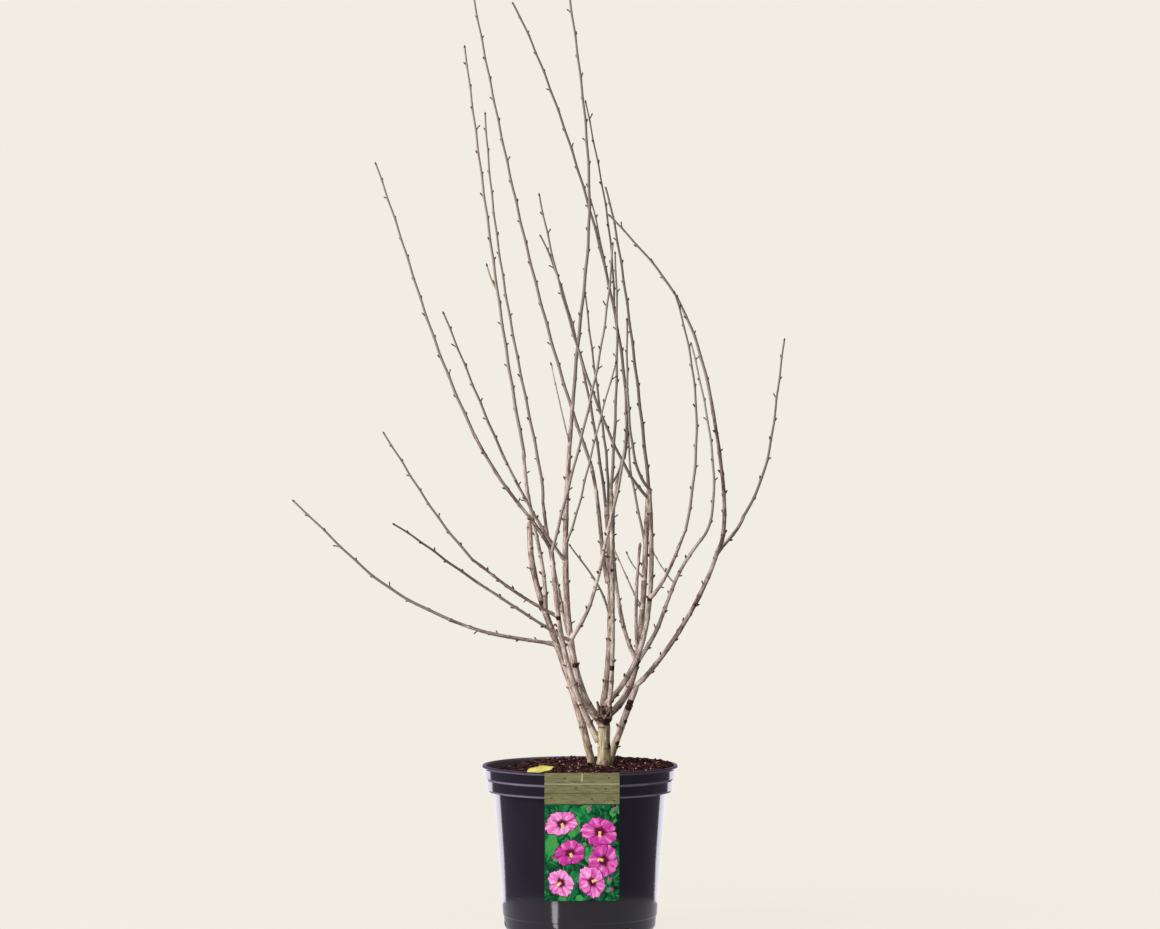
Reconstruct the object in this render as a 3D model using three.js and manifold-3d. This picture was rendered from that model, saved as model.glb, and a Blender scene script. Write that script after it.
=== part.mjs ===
// A rose of sharon in winter: a bare shrub of many stems in a round nursery pot with a
// hanging plant label. Millimetres, +Z up, the front is -Y. The origin is the middle of the
// pot's flat underside.
//
// The trunk forks just above the soil into upright boughs, and each bough ends in a whip of
// bare twigs. A limb is a tapered tube bent along one curve, which is set by where it starts,
// where it ends, how far it leans off the vertical at both ends, and its two diameters.

import * as THREE from 'three';
import { mergeVertices } from 'three/addons/utils/BufferGeometryUtils.js';
import Module from 'manifold-3d';

const wasm = await Module();
wasm.setup();

// ---------------------------------------------------------------- driving dimensions

const DEGREE = Math.PI / 180;
const CLEARANCE = 0.3;            // air between one solid and the next
const LIMB_GAP = 0.375;           // a little more where faceted limbs are cut round each other
const SOIL_GAP = 0.5;             // and where the soil's coarse facets face the pot's wall
const WELD = 1e-3;                // corners closer than this are one corner

const POT_HEIGHT = 242;
const POT_FLOOR = 3;
const POT_WALL = 2.5;
const POT_SIDES = 36;
const FOOT_RADIUS = 100.5;
const HEEL_HEIGHT = 28;           // the wall slopes in under this height, with a small step
const HEEL_STEP = 1;
const BODY_BOTTOM_RADIUS = 109.8;
const BODY_TOP_RADIUS = 123;
const LOWER_BAND_BOTTOM = 204;    // two bands stand proud under the lip
const LOWER_BAND_RADIUS = 134;
const UPPER_BAND_BOTTOM = 221;
const UPPER_BAND_RADIUS = 137;
const BAND_SHOULDER = 4;          // how high the sloping underside of a band is
const LIP_RADIUS = 140;
const LIP_THICKNESS = 4.5;
const DRAIN_COUNT = 6;
const DRAIN_WIDTH = 15;
const DRAIN_HEIGHT = 20;
const DRAIN_DEPTH = 18;
const DRAIN_TURN = -52;           // degrees from +X to one of the slots

const SOIL_LEVEL = 239;
const SOIL_DIP = 10;              // the soil has settled on the left
const SOIL_DIP_START = 50;
const SOIL_DIP_END = 125;
const SOIL_LUMP = 2.2;
const SOIL_RINGS = [0.94, 0.8, 0.63, 0.44, 0.22];
const SOIL_SIDES = POT_SIDES / 2;
const STEM_CIRCLE = { x: 34, y: 45, radius: 62 };   // flat soil round the feet of the stems
const ROOTED = SOIL_LEVEL - 5;    // where the middle lines of the stems start
const GROUND_DEPTH = 40;

const LABEL_WIDTH = 104;
const LABEL_TOP = 243.1;
const LABEL_BOTTOM = 65;
const LABEL_THICKNESS = 0.8;
const LABEL_MIDDLE = 2.8;
const STAKE_WIDTH = 12;           // the label's tongue folds over the lip into the soil
const STAKE_BOTTOM = 221;
const STAKE_SETBACK = 11;

const TRUNK_SIDES = 10;
const TRUNK_RING = 9;             // one ring of facets per so many millimetres
const FLARE = 5;                  // how much wider the trunk's foot is, each side
const FLARE_SHARE = 0.28;
const BOUGH_SIDES = 7;
const BOUGH_RING = 36;
const WHIP_SIDES = 5;
const WHIP_RING = 48;
const LINE_SAMPLES = 200;
const SHOOT_SIDES = 4;
const SPUR_SIDES = 3;
const BUD_SPACING = 30;           // buds alternate along a whip
const SPUR_EVERY = 3;             // every third bud has grown into a short spur
const SPUR_LENGTH = [5, 10];
const SPUR_ROOT = 2.2;
const SPUR_TIP = 1.3;
const SPUR_ANGLE = 40;            // degrees off the twig it stands on
const SPUR_SCATTER = 1.6;         // radians round the twig

// ---------------------------------------------------------------- finishes

const finish = (color, roughness) => new THREE.MeshStandardMaterial({ color, roughness, metalness: 0 });
const POT_PLASTIC = finish(0x2a2630, 0.28);
const PEAT = finish(0x3a2a26, 0.95);
const LABEL_FILM = finish(0x5d7a3e, 0.45);
const TRUNK_BARK = finish(0x9a8a6c, 0.85);
const BOUGH_BARK = finish(0x8a7568, 0.85);
const TWIG_BARK = finish(0x6a5850, 0.8);

// ---------------------------------------------------------------- solids

function toSolid(geometry) {
  geometry.deleteAttribute('normal');
  geometry.deleteAttribute('uv');
  const merged = mergeVertices(geometry, WELD);
  const index = merged.index.array;
  const kept = [];
  for (let i = 0; i < index.length; i += 3) {
    const [a, b, c] = [index[i], index[i + 1], index[i + 2]];
    if (a !== b && b !== c && c !== a) kept.push(a, b, c);
  }
  return new wasm.Manifold(new wasm.Mesh({
    numProp: 3,
    vertProperties: new Float32Array(merged.attributes.position.array),
    triVerts: new Uint32Array(kept),
  }));
}

function toMesh(name, solid, material) {
  const { vertProperties, triVerts } = solid.getMesh();
  const geometry = new THREE.BufferGeometry();
  geometry.setAttribute('position', new THREE.BufferAttribute(vertProperties, 3));
  geometry.setIndex(new THREE.BufferAttribute(triVerts, 1));
  geometry.computeVertexNormals();
  const mesh = new THREE.Mesh(geometry, material);
  mesh.name = name;
  return mesh;
}

function largestBody(solid) {
  return solid.decompose().reduce((a, b) => (a.volume() > b.volume() ? a : b));
}

// The same random numbers every time: a 32-bit linear congruential generator.
function seededRandom(seed) {
  let state = seed >>> 0;
  return () => {
    state = (Math.imul(state, 1664525) + 1013904223) >>> 0;
    return state / 4294967296;
  };
}

// A profile of [radius, height] points turned about +Z.
function turned(points, sides) {
  const profile = points.map(([radius, height]) => new THREE.Vector2(radius, height));
  return new THREE.LatheGeometry(profile, sides).rotateX(Math.PI / 2);
}

// ---------------------------------------------------------------- pot, soil and label

function potOutside() {
  return [
    [FOOT_RADIUS - 1, 0],
    [FOOT_RADIUS, 1],
    [BODY_BOTTOM_RADIUS - 2 * HEEL_STEP, HEEL_HEIGHT / 2],
    [BODY_BOTTOM_RADIUS - HEEL_STEP, HEEL_HEIGHT],
    [BODY_BOTTOM_RADIUS, HEEL_HEIGHT + HEEL_STEP],
    [BODY_TOP_RADIUS, LOWER_BAND_BOTTOM],
    [LOWER_BAND_RADIUS - 2, LOWER_BAND_BOTTOM + BAND_SHOULDER / 3],
    [LOWER_BAND_RADIUS - 0.4, LOWER_BAND_BOTTOM + BAND_SHOULDER],
    [LOWER_BAND_RADIUS, UPPER_BAND_BOTTOM],
    [UPPER_BAND_RADIUS - 0.4, UPPER_BAND_BOTTOM + BAND_SHOULDER],
    [UPPER_BAND_RADIUS, POT_HEIGHT - LIP_THICKNESS - 1],
    [LIP_RADIUS - 0.6, POT_HEIGHT - LIP_THICKNESS],
    [LIP_RADIUS, POT_HEIGHT - LIP_THICKNESS / 2],
    [LIP_RADIUS - 1.2, POT_HEIGHT],
  ];
}

function potInside() {
  return [
    [UPPER_BAND_RADIUS - POT_WALL, POT_HEIGHT - LIP_THICKNESS / 2],
    [UPPER_BAND_RADIUS - 0.4 - POT_WALL, UPPER_BAND_BOTTOM + BAND_SHOULDER],
    [LOWER_BAND_RADIUS - POT_WALL, UPPER_BAND_BOTTOM],
    [LOWER_BAND_RADIUS - 1 - POT_WALL, LOWER_BAND_BOTTOM + BAND_SHOULDER],
    [BODY_TOP_RADIUS - POT_WALL, LOWER_BAND_BOTTOM + 1],
    [BODY_BOTTOM_RADIUS - HEEL_STEP - POT_WALL, HEEL_HEIGHT],
    [FOOT_RADIUS - POT_WALL, POT_FLOOR],
  ];
}

function potSolid() {
  const mouth = [UPPER_BAND_RADIUS - POT_WALL + 1.2, POT_HEIGHT];
  const profile = [[0, 0], ...potOutside(), mouth, ...potInside(), [0, POT_FLOOR]];
  let pot = toSolid(turned(profile, POT_SIDES));
  for (let i = 0; i < DRAIN_COUNT; i++) {
    const slot = new THREE.BoxGeometry(DRAIN_DEPTH, DRAIN_WIDTH, DRAIN_HEIGHT + 2);
    slot.translate(BODY_BOTTOM_RADIUS - DRAIN_DEPTH / 2, 0, DRAIN_HEIGHT / 2 - 1);
    slot.rotateZ((DRAIN_TURN + (i * 360) / DRAIN_COUNT) * DEGREE);
    pot = pot.subtract(toSolid(slot));
  }
  return largestBody(pot);
}

// Lumpy, with a dip on the left and a flat place where the stems stand.
function soilHeight(x, y, random) {
  const dip = SOIL_DIP * THREE.MathUtils.smoothstep(-x, SOIL_DIP_START, SOIL_DIP_END);
  const fromStems = Math.hypot(x - STEM_CIRCLE.x, y - STEM_CIRCLE.y);
  const lump = fromStems < STEM_CIRCLE.radius ? 0 : SOIL_LUMP * (random() - 1);
  return SOIL_LEVEL - dip + lump;
}

function soilSolid(stake) {
  const inside = potInside().slice(1).reverse();
  const side = inside.map(([radius, height]) => [radius - SOIL_GAP, height + SOIL_GAP]);
  const edge = UPPER_BAND_RADIUS - 0.4 - POT_WALL - SOIL_GAP;
  const top = [1, ...SOIL_RINGS].map((share) => [edge * share, SOIL_LEVEL]);
  const profile = [[0, POT_FLOOR + SOIL_GAP], ...side, ...top, [0, SOIL_LEVEL]];
  const geometry = turned(profile, SOIL_SIDES).deleteAttribute('normal').deleteAttribute('uv');
  const merged = mergeVertices(geometry, WELD);
  const random = seededRandom(7);
  const place = merged.attributes.position;
  for (let i = 0; i < place.count; i++) {
    if (Math.abs(place.getZ(i) - SOIL_LEVEL) < WELD) {
      place.setZ(i, soilHeight(place.getX(i), place.getY(i), random));
    }
  }
  return largestBody(toSolid(merged).subtract(stake));
}

// The label's strip seen from the side: the plate in front, the fold and the tongue behind.
function labelSolid(grow = 0) {
  const front = -(LIP_RADIUS + CLEARANCE + LABEL_THICKNESS);
  const back = front + LABEL_THICKNESS + STAKE_SETBACK;
  const box = (width, y0, y1, z0, z1) => toSolid(
    new THREE.BoxGeometry(width + 2 * grow, y1 - y0 + 2 * grow, z1 - z0 + 2 * grow)
      .translate(LABEL_MIDDLE, (y0 + y1) / 2, (z0 + z1) / 2));
  const plate = box(LABEL_WIDTH, front, front + LABEL_THICKNESS, LABEL_BOTTOM, LABEL_TOP);
  const fold = box(STAKE_WIDTH, front, back, LABEL_TOP - LABEL_THICKNESS, LABEL_TOP);
  const tongue = box(STAKE_WIDTH, back - LABEL_THICKNESS, back, STAKE_BOTTOM, LABEL_TOP);
  return plate.add(fold).add(tongue);
}

// ---------------------------------------------------------------- limbs

// A limb's middle line. Its lean is seen from the front, off the vertical and to the right;
// its depth changes evenly. The sweep says how long each end keeps to its own lean.
function limbLine(base, tip, lean, sweep = [1 / 3, 1 / 3]) {
  const length = base.distanceTo(tip);
  const depth = (tip.y - base.y) / 3;
  const handle = (end, angle, reach, side) => new THREE.Vector3(
    end.x + side * reach * Math.sin(angle * DEGREE),
    end.y + side * depth,
    end.z + side * reach * Math.cos(angle * DEGREE));
  return new THREE.CubicBezierCurve3(
    base,
    handle(base, lean[0], length * sweep[0], 1),
    handle(tip, lean[1], length * sweep[1], -1),
    tip);
}

// Two directions square to a limb, worked out from the front-to-back direction.
function across(line, t) {
  const along = line.getTangentAt(t);
  const sideways = new THREE.Vector3().crossVectors(along, new THREE.Vector3(0, 1, 0)).normalize();
  const outwards = new THREE.Vector3().crossVectors(sideways, along);
  return { along, sideways, outwards };
}

// A cylinder bent along the line, with a radius for each share of its length.
function bentTube(line, radiusAt, sides, rings) {
  const tube = new THREE.CylinderGeometry(1, 1, 1, sides, rings);
  const place = tube.attributes.position;
  for (let i = 0; i < place.count; i++) {
    const share = THREE.MathUtils.clamp(place.getY(i) + 0.5, 0, 1);
    const { sideways, outwards } = across(line, share);
    const point = line.getPointAt(share)
      .addScaledVector(sideways, place.getX(i) * radiusAt(share))
      .addScaledVector(outwards, place.getZ(i) * radiusAt(share));
    place.setXYZ(i, point.x, point.y, point.z);
  }
  return tube;
}

function taper(thick, grow = 0) {
  return (share) => THREE.MathUtils.lerp(thick[0], thick[1], share) / 2 + grow;
}

function pointAtHeight(line, height) {
  const points = line.getSpacedPoints(LINE_SAMPLES);
  return points.reduce((a, b) => (Math.abs(a.z - height) < Math.abs(b.z - height) ? a : b)).clone();
}

const limbs = new Map();          // name -> { line, grown, box }

function baseOf(limb) {
  if (limb.foot) return new THREE.Vector3(...limb.foot);
  const parent = limbs.get(limb.on).line;
  const base = limb.at === undefined ? parent.getPoint(1) : pointAtHeight(parent, limb.at);
  return base.add(new THREE.Vector3(...(limb.offset ?? [0, 0, 0])));
}

// Cuts a new limb back to the air gap round every limb that is already there.
function clearOfOthers(solid) {
  const box = boxOf(solid);
  let cut = solid;
  for (const other of limbs.values()) {
    if (other.box.intersectsBox(box)) cut = cut.subtract(other.grown);
  }
  return largestBody(cut);
}

function boxOf(solid) {
  const { min, max } = solid.boundingBox();
  return new THREE.Box3(new THREE.Vector3(...min), new THREE.Vector3(...max)).expandByScalar(CLEARANCE);
}

// Long side shoots that stand on the limb, fused with it.
function withShoots(solid, line, shoots) {
  let joined = solid;
  for (const shoot of shoots) {
    const start = pointAtHeight(line, shoot.at);
    const shootLine = limbLine(start, new THREE.Vector3(...shoot.tip), shoot.lean);
    const rings = Math.max(2, Math.round(shootLine.getLength() / WHIP_RING));
    joined = joined.add(toSolid(bentTube(shootLine, taper(shoot.thick), SHOOT_SIDES, rings)));
  }
  return joined;
}

// Short spurs at every third bud, on alternate sides, by the seeded rule.
function withSpurs(solid, line, random) {
  const buds = Math.floor(line.getLength() / BUD_SPACING);
  let joined = solid;
  for (let i = 1; i < buds; i++) {
    const turn = (i % 2) * Math.PI + (random() - 0.5) * SPUR_SCATTER;
    const reach = THREE.MathUtils.lerp(SPUR_LENGTH[0], SPUR_LENGTH[1], random());
    if (i % SPUR_EVERY === 0) joined = joined.add(spur(line, i / buds, turn, reach));
  }
  return joined;
}

function spur(line, share, turn, reach) {
  const { along, sideways, outwards } = across(line, share);
  const aside = sideways.multiplyScalar(Math.cos(turn)).addScaledVector(outwards, Math.sin(turn));
  const heading = along.multiplyScalar(Math.cos(SPUR_ANGLE * DEGREE))
    .addScaledVector(aside, Math.sin(SPUR_ANGLE * DEGREE));
  const root = line.getPointAt(share);
  const spurLine = new THREE.LineCurve3(root, root.clone().addScaledVector(heading, reach));
  return toSolid(bentTube(spurLine, taper([SPUR_ROOT, SPUR_TIP]), SPUR_SIDES, 1));
}

function addLimb(name, limb, sides, ringLength, finishing) {
  const line = limbLine(baseOf(limb), new THREE.Vector3(...limb.tip), limb.lean, limb.sweep);
  const rings = Math.max(2, Math.round(line.getLength() / ringLength));
  const bare = toSolid(bentTube(line, taper(limb.thick), sides, rings));
  const solid = clearOfOthers(finishing(withShoots(bare, line, limb.shoots ?? []), line));
  const grown = toSolid(bentTube(line, taper(limb.thick, LIMB_GAP), sides, rings));
  limbs.set(name, { line, grown, box: boxOf(grown) });
  return solid;
}

function bough(name, limb) {
  return toMesh(name, addLimb(name, limb, BOUGH_SIDES, BOUGH_RING, (solid) => solid), BOUGH_BARK);
}

function whip(name, limb) {
  const random = seededRandom([...name].reduce(
    (sum, letter) => Math.imul(sum, 31) + letter.charCodeAt(0), 1));
  const spurred = (solid, line) => withSpurs(solid, line, random);
  return toMesh(name, addLimb(name, limb, WHIP_SIDES, WHIP_RING, spurred), TWIG_BARK);
}

// The ground takes the first place among the limbs, so each stem ends flat on the soil.
function addGround() {
  const solid = toSolid(new THREE.BoxGeometry(2 * LIP_RADIUS, 2 * LIP_RADIUS, GROUND_DEPTH)
    .translate(0, 0, SOIL_LEVEL + CLEARANCE - GROUND_DEPTH / 2));
  limbs.set('ground', { grown: solid, box: boxOf(solid) });
}

// The trunk: a root flare on the soil, then a nearly even stem up to the fork.
const TRUNK = { foot: [34.5, 25, ROOTED], tip: [34.5, 25, 312], lean: [0, 0], thick: [21, 17] };

function trunk() {
  const line = limbLine(new THREE.Vector3(...TRUNK.foot), new THREE.Vector3(...TRUNK.tip), TRUNK.lean);
  const rings = Math.round(line.getLength() / TRUNK_RING);
  const flared = (grow) => (share) => taper(TRUNK.thick, grow)(share)
    + FLARE * Math.max(0, 1 - share / FLARE_SHARE) ** 2;
  const solid = clearOfOthers(toSolid(bentTube(line, flared(0), TRUNK_SIDES, rings)));
  const grown = toSolid(bentTube(line, flared(LIMB_GAP), TRUNK_SIDES, rings));
  limbs.set('trunk', { line, grown, box: boxOf(grown) });
  return toMesh('trunk', solid, TRUNK_BARK);
}

// ---------------------------------------------------------------- the plant's limbs

// A limb starts at its own foot, or on another limb: at a height on it, or at its tip.
const BOUGHS = {
  bough_centre_pruned: {
    foot: [28.5, 30, 300], tip: [39, 75, 615], lean: [12, -3], thick: [10, 8.4],
  },
  bough_centre_tall: {
    foot: [29.7, 25, 302], tip: [-10, 30, 763], lean: [-48, 5], thick: [12, 5.6],
    sweep: [0.17, 0.46],
    shoots: [{ at: 699, tip: [-41, -40, 813], lean: [-14, -12], thick: [2.8, 1.8] }],
  },
  bough_inner_right: {
    foot: [32, 25, 306], tip: [99, 50, 638], lean: [62, 3], thick: [10.5, 7],
    sweep: [0.2, 0.65],
    shoots: [
      { at: 396, tip: [86, 16, 556], lean: [-5, 6], thick: [5.4, 4.4] },
      { at: 462, tip: [46, 2, 555], lean: [-30, -26], thick: [3.2, 2] },
      { at: 505, tip: [67, 10, 544], lean: [-36, -20], thick: [3, 1.9] },
    ],
  },
  bough_centre_front: {
    foot: [38, 20, 304], tip: [44, -35, 636], lean: [16, -1], thick: [6.8, 5.6],
    sweep: [0.13, 0.48],
  },
  bough_inner_left: {
    foot: [26, 25, 274], tip: [-40, -25, 546], lean: [-27, -5], thick: [9.6, 6.4],
    sweep: [0.43, 0.33],
  },
  bough_right_twin: {
    foot: [31, 20, 320], tip: [99, -5, 636], lean: [45, -3], thick: [8.4, 6],
    sweep: [0.28, 0.58],
  },
  bough_crossing: {
    on: 'bough_inner_right', at: 389, tip: [64, 20, 684], lean: [-36, 23], thick: [6.4, 4.6],
    sweep: [0.17, 0.29],
  },
  stem_left: {
    foot: [18.5, 45, ROOTED], tip: [-73, 85, 586], lean: [-13, 1], thick: [11.5, 8],
    sweep: [0.59, 0.32],
  },
  stem_right: {
    foot: [41, 68, ROOTED], tip: [82, 60, 352], lean: [16, 20], thick: [11.5, 9.4],
  },
  bough_low_left: {
    on: 'stem_left', at: 409, tip: [-189, 20, 449], lean: [-77, -66], thick: [5.8, 4.6],
    sweep: [0.32, 0.45],
  },
  bough_mid_left: {
    on: 'bough_centre_tall', at: 417, tip: [-144, -85, 505], lean: [-60, -56], thick: [5, 3.9],
    sweep: [0.25, 0.35],
  },
  bough_upper_left: {
    on: 'bough_inner_left', at: 454, tip: [-158, 100, 533], lean: [-65, -55], thick: [4.9, 3.9],
    sweep: [0.39, 0.26],
  },
  bough_far_left: {
    on: 'bough_inner_left', tip: [-153, 30, 715], lean: [-26, -28], thick: [5.4, 4.4],
    sweep: [0.31, 0.59],
  },
  bough_near_left: {
    on: 'bough_centre_tall', at: 531, tip: [-109, -75, 685], lean: [-39, -25], thick: [5, 3.9],
    sweep: [0.24, 0.32],
  },
  bough_left_tall: {
    on: 'stem_left', at: 456, tip: [-81, 10, 691], lean: [3, -2], thick: [6, 5],
    sweep: [0.33, 0.4],
  },
  bough_left_twin: {
    on: 'bough_centre_tall', at: 409, tip: [-54, 85, 619], lean: [-14, -4], thick: [6, 4.6],
    sweep: [0.42, 0.18],
  },
  bough_middle: {
    on: 'bough_centre_tall', at: 420, tip: [46, -60, 604], lean: [38, 14], thick: [6, 4.4],
    sweep: [0.3, 0.37],
  },
  bough_centre_left: {
    on: 'bough_centre_pruned', at: 499, offset: [-3, 0, 0], tip: [16, 80, 670],
    lean: [-15, -13], thick: [6.6, 5], sweep: [0.31, 0.41],
  },
  bough_arch_low: {
    on: 'stem_right', tip: [197, 10, 548], lean: [52, 14], thick: [7.4, 6], sweep: [0.13, 0.33],
  },
  bough_arch_high: {
    on: 'bough_arch_low', tip: [185, -50, 762], lean: [36, -11], thick: [6, 4.7],
    sweep: [0.16, 0.3],
  },
  bough_right_outer: {
    on: 'bough_inner_right', at: 384, tip: [179, 110, 563], lean: [38, 40], thick: [6.4, 5],
    sweep: [0.42, 0.46],
    shoots: [{ at: 498, tip: [106, 70, 544], lean: [-42, -28], thick: [2.8, 1.9] }],
  },
  bough_right_mid: {
    on: 'bough_right_twin', at: 480, tip: [149, -70, 581], lean: [53, 19], thick: [5.6, 4.3],
    sweep: [0.14, 0.37],
  },
  bough_far_right: {
    on: 'bough_arch_low', at: 543, tip: [236, 40, 597], lean: [39, 19], thick: [5.4, 4.4],
    sweep: [0.33, 0.33],
  },
};

const WHIPS = {
  twigs_centre_tall: {
    on: 'bough_centre_tall', tip: [-21, 10, 1378], lean: [4, -9], thick: [5, 2.6],
    sweep: [0.37, 0.62],
  },
  twigs_low_left: {
    on: 'bough_low_left', tip: [-407, -60, 622], lean: [-66, -46], thick: [4.4, 2.4],
    sweep: [0.41, 0.45],
  },
  twigs_mid_left: {
    on: 'bough_mid_left', tip: [-256, -230, 591], lean: [-54, -57], thick: [3.8, 2.2],
    sweep: [0.35, 0.28],
  },
  twigs_upper_left: {
    on: 'bough_upper_left', tip: [-297, 250, 721], lean: [-43, -34], thick: [3.8, 2.3],
    sweep: [0.33, 0.37],
  },
  twigs_far_left: {
    on: 'bough_far_left', tip: [-300, 110, 1114], lean: [-25, -20], thick: [4.3, 2.3],
    sweep: [0.41, 0.45],
  },
  twigs_near_left: {
    on: 'bough_near_left', tip: [-189, -190, 882], lean: [-24, -22], thick: [3.8, 2.3],
    sweep: [0.21, 0.33],
  },
  twigs_left_tall: {
    on: 'bough_left_tall', tip: [-161, -120, 1256], lean: [-11, -7], thick: [4.8, 2.4],
    sweep: [0.24, 0.26],
    shoots: [{ at: 916, tip: [-133, -40, 957], lean: [-34, -14], thick: [2.6, 1.8] }],
  },
  twigs_left_twin: {
    on: 'bough_left_twin', tip: [-141, 190, 1196], lean: [3, -3], thick: [4.4, 2.3],
    sweep: [0.1, 0.49],
  },
  twigs_front_right: {
    on: 'bough_inner_left', tip: [45, -210, 976], lean: [14, 3], thick: [4.4, 2.4],
    sweep: [0.37, 0.34],
  },
  twigs_middle: { on: 'bough_middle', tip: [65, -120, 746], lean: [14, 0], thick: [4.2, 2.2] },
  twigs_front_middle: {
    on: 'bough_centre_tall', at: 555, tip: [51, -130, 816], lean: [23, 16], thick: [3.4, 2],
    sweep: [0.22, 0.61],
  },
  twigs_back_low: {
    on: 'bough_centre_pruned', at: 447, tip: [-17, 105, 556], lean: [-15, -32], thick: [3.4, 2],
    sweep: [0.51, 0.34],
  },
  twigs_centre_left: {
    on: 'bough_centre_left', tip: [-162, 130, 1385], lean: [-20, -11], thick: [4.8, 2.4],
    sweep: [0.32, 0.32],
  },
  twigs_front_left: {
    on: 'bough_inner_right', at: 623, tip: [-56, -240, 1040], lean: [-48, -11],
    thick: [4.6, 2.3], sweep: [0.13, 0.36],
  },
  twigs_back_left: {
    on: 'bough_centre_pruned', offset: [-2.4, -1.2, 0], tip: [-61, 230, 1016], lean: [-6, -28],
    thick: [4.4, 2.2], sweep: [0.23, 0.25],
  },
  twigs_back: {
    on: 'bough_centre_pruned', offset: [2, 2, 0], tip: [8, 270, 928], lean: [1, -6],
    thick: [4.2, 2.2], sweep: [0.24, 0.49],
  },
  twigs_back_tall: {
    on: 'bough_crossing', tip: [-101, 170, 1356], lean: [8, -29], thick: [4.6, 2.6],
    sweep: [0.26, 0.16],
    shoots: [
      { at: 939, tip: [14, 40, 1056], lean: [-12, -18], thick: [2.6, 1.7] },
      { at: 895, tip: [7, -60, 1186], lean: [0, -12], thick: [3, 1.8] },
    ],
  },
  twigs_front_centre: {
    on: 'bough_centre_front', tip: [49, -90, 971], lean: [4, -3], thick: [4.6, 2.2],
    shoots: [{ at: 642, tip: [67, -20, 734], lean: [36, 4], thick: [3, 1.9] }],
  },
  twigs_front: {
    on: 'bough_right_twin', tip: [64, -200, 872], lean: [-54, -2], thick: [4.4, 2.2],
    sweep: [0.15, 0.18],
  },
  twigs_right_low: {
    on: 'bough_inner_right', at: 542, tip: [71, 110, 721], lean: [-5, 2], thick: [4, 2.4],
    sweep: [0.34, 0.39],
  },
  twigs_right_tall: {
    on: 'bough_inner_right', tip: [37, 160, 1082], lean: [-5, -19], thick: [5, 2.6],
    sweep: [0.21, 0.15],
  },
  twigs_arch: {
    on: 'bough_arch_high', tip: [38, -150, 1018], lean: [-11, -44], thick: [4.6, 2.3],
    sweep: [0.47, 0.33],
  },
  twigs_right_outer: {
    on: 'bough_right_outer', tip: [165, 220, 855], lean: [39, -14], thick: [4.2, 2.2],
    sweep: [0.18, 0.36],
  },
  twigs_right_mid: {
    on: 'bough_right_mid', tip: [127, -230, 908], lean: [11, -20], thick: [4.2, 2.2],
    sweep: [0.42, 0.21],
  },
  twigs_far_right: {
    on: 'bough_far_right', tip: [300, 120, 857], lean: [32, 9], thick: [4.2, 2.3],
    sweep: [0.31, 0.5],
  },
};

const plant = new THREE.Group();
plant.name = 'plant';
addGround();
plant.add(trunk());
for (const [name, limb] of Object.entries(BOUGHS)) plant.add(bough(name, limb));
for (const [name, limb] of Object.entries(WHIPS)) plant.add(whip(name, limb));

const container = new THREE.Group();
container.name = 'container';
container.add(toMesh('pot', potSolid(), POT_PLASTIC));
container.add(toMesh('soil', soilSolid(labelSolid(CLEARANCE)), PEAT));
container.add(toMesh('label', labelSolid(), LABEL_FILM));

const shrub = new THREE.Group();
shrub.name = 'rose_of_sharon';
shrub.add(container, plant);

export default shrub;
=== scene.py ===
"""A leafless rose of sharon in a black nursery pot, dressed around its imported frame.

The trunk and boughs grow from the same rows as the solids. The limbs of each family are fused
by a voxel remesh and then given bark. Each mass of twigs grows again by the same seeded rule,
and goes on to finer side twigs and buds. Pot, soil, label and fallen leaf are modelled pieces.
Rows and shapes are in millimetres and become metres when a mesh is made.
"""

import functools
import math

import bpy
import numpy as np
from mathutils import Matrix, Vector, kdtree, noise


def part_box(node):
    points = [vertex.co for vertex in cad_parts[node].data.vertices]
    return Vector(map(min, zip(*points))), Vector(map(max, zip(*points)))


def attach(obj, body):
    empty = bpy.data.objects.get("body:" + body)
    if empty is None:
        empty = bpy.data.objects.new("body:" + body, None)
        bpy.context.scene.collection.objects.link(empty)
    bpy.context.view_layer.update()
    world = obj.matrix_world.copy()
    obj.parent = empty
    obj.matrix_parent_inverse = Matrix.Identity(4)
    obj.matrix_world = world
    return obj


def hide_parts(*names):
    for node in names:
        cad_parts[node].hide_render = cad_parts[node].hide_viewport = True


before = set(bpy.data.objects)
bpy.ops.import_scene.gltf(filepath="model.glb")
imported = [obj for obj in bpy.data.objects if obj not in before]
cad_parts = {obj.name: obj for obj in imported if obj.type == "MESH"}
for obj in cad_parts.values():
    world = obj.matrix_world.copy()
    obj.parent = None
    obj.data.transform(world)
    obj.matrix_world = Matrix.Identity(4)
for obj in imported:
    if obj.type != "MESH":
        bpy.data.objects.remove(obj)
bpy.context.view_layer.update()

MM = 0.001

# ---------------------------------------------------------------- limbs, as in the solids

LIMB_SAMPLES = 200
SOIL_LEVEL = 239
ROOTED = SOIL_LEVEL - 5           # where the middle lines of the stems start
BUD_SPACING = 30
SPUR_EVERY = 3
SPUR_LENGTH = (5, 10)
SPUR_THICK = (2.2, 1.3)
SPUR_ANGLE = 40                   # degrees off the twig it stands on
SPUR_SCATTER = 1.6                # radians round the twig

TRUNK = dict(foot=(34.5, 25, ROOTED), tip=(34.5, 25, 312), lean=(0, 0), thick=(21, 17))
FLARE = 5                         # how much wider the trunk's foot is, each side
FLARE_SHARE = 0.28

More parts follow.
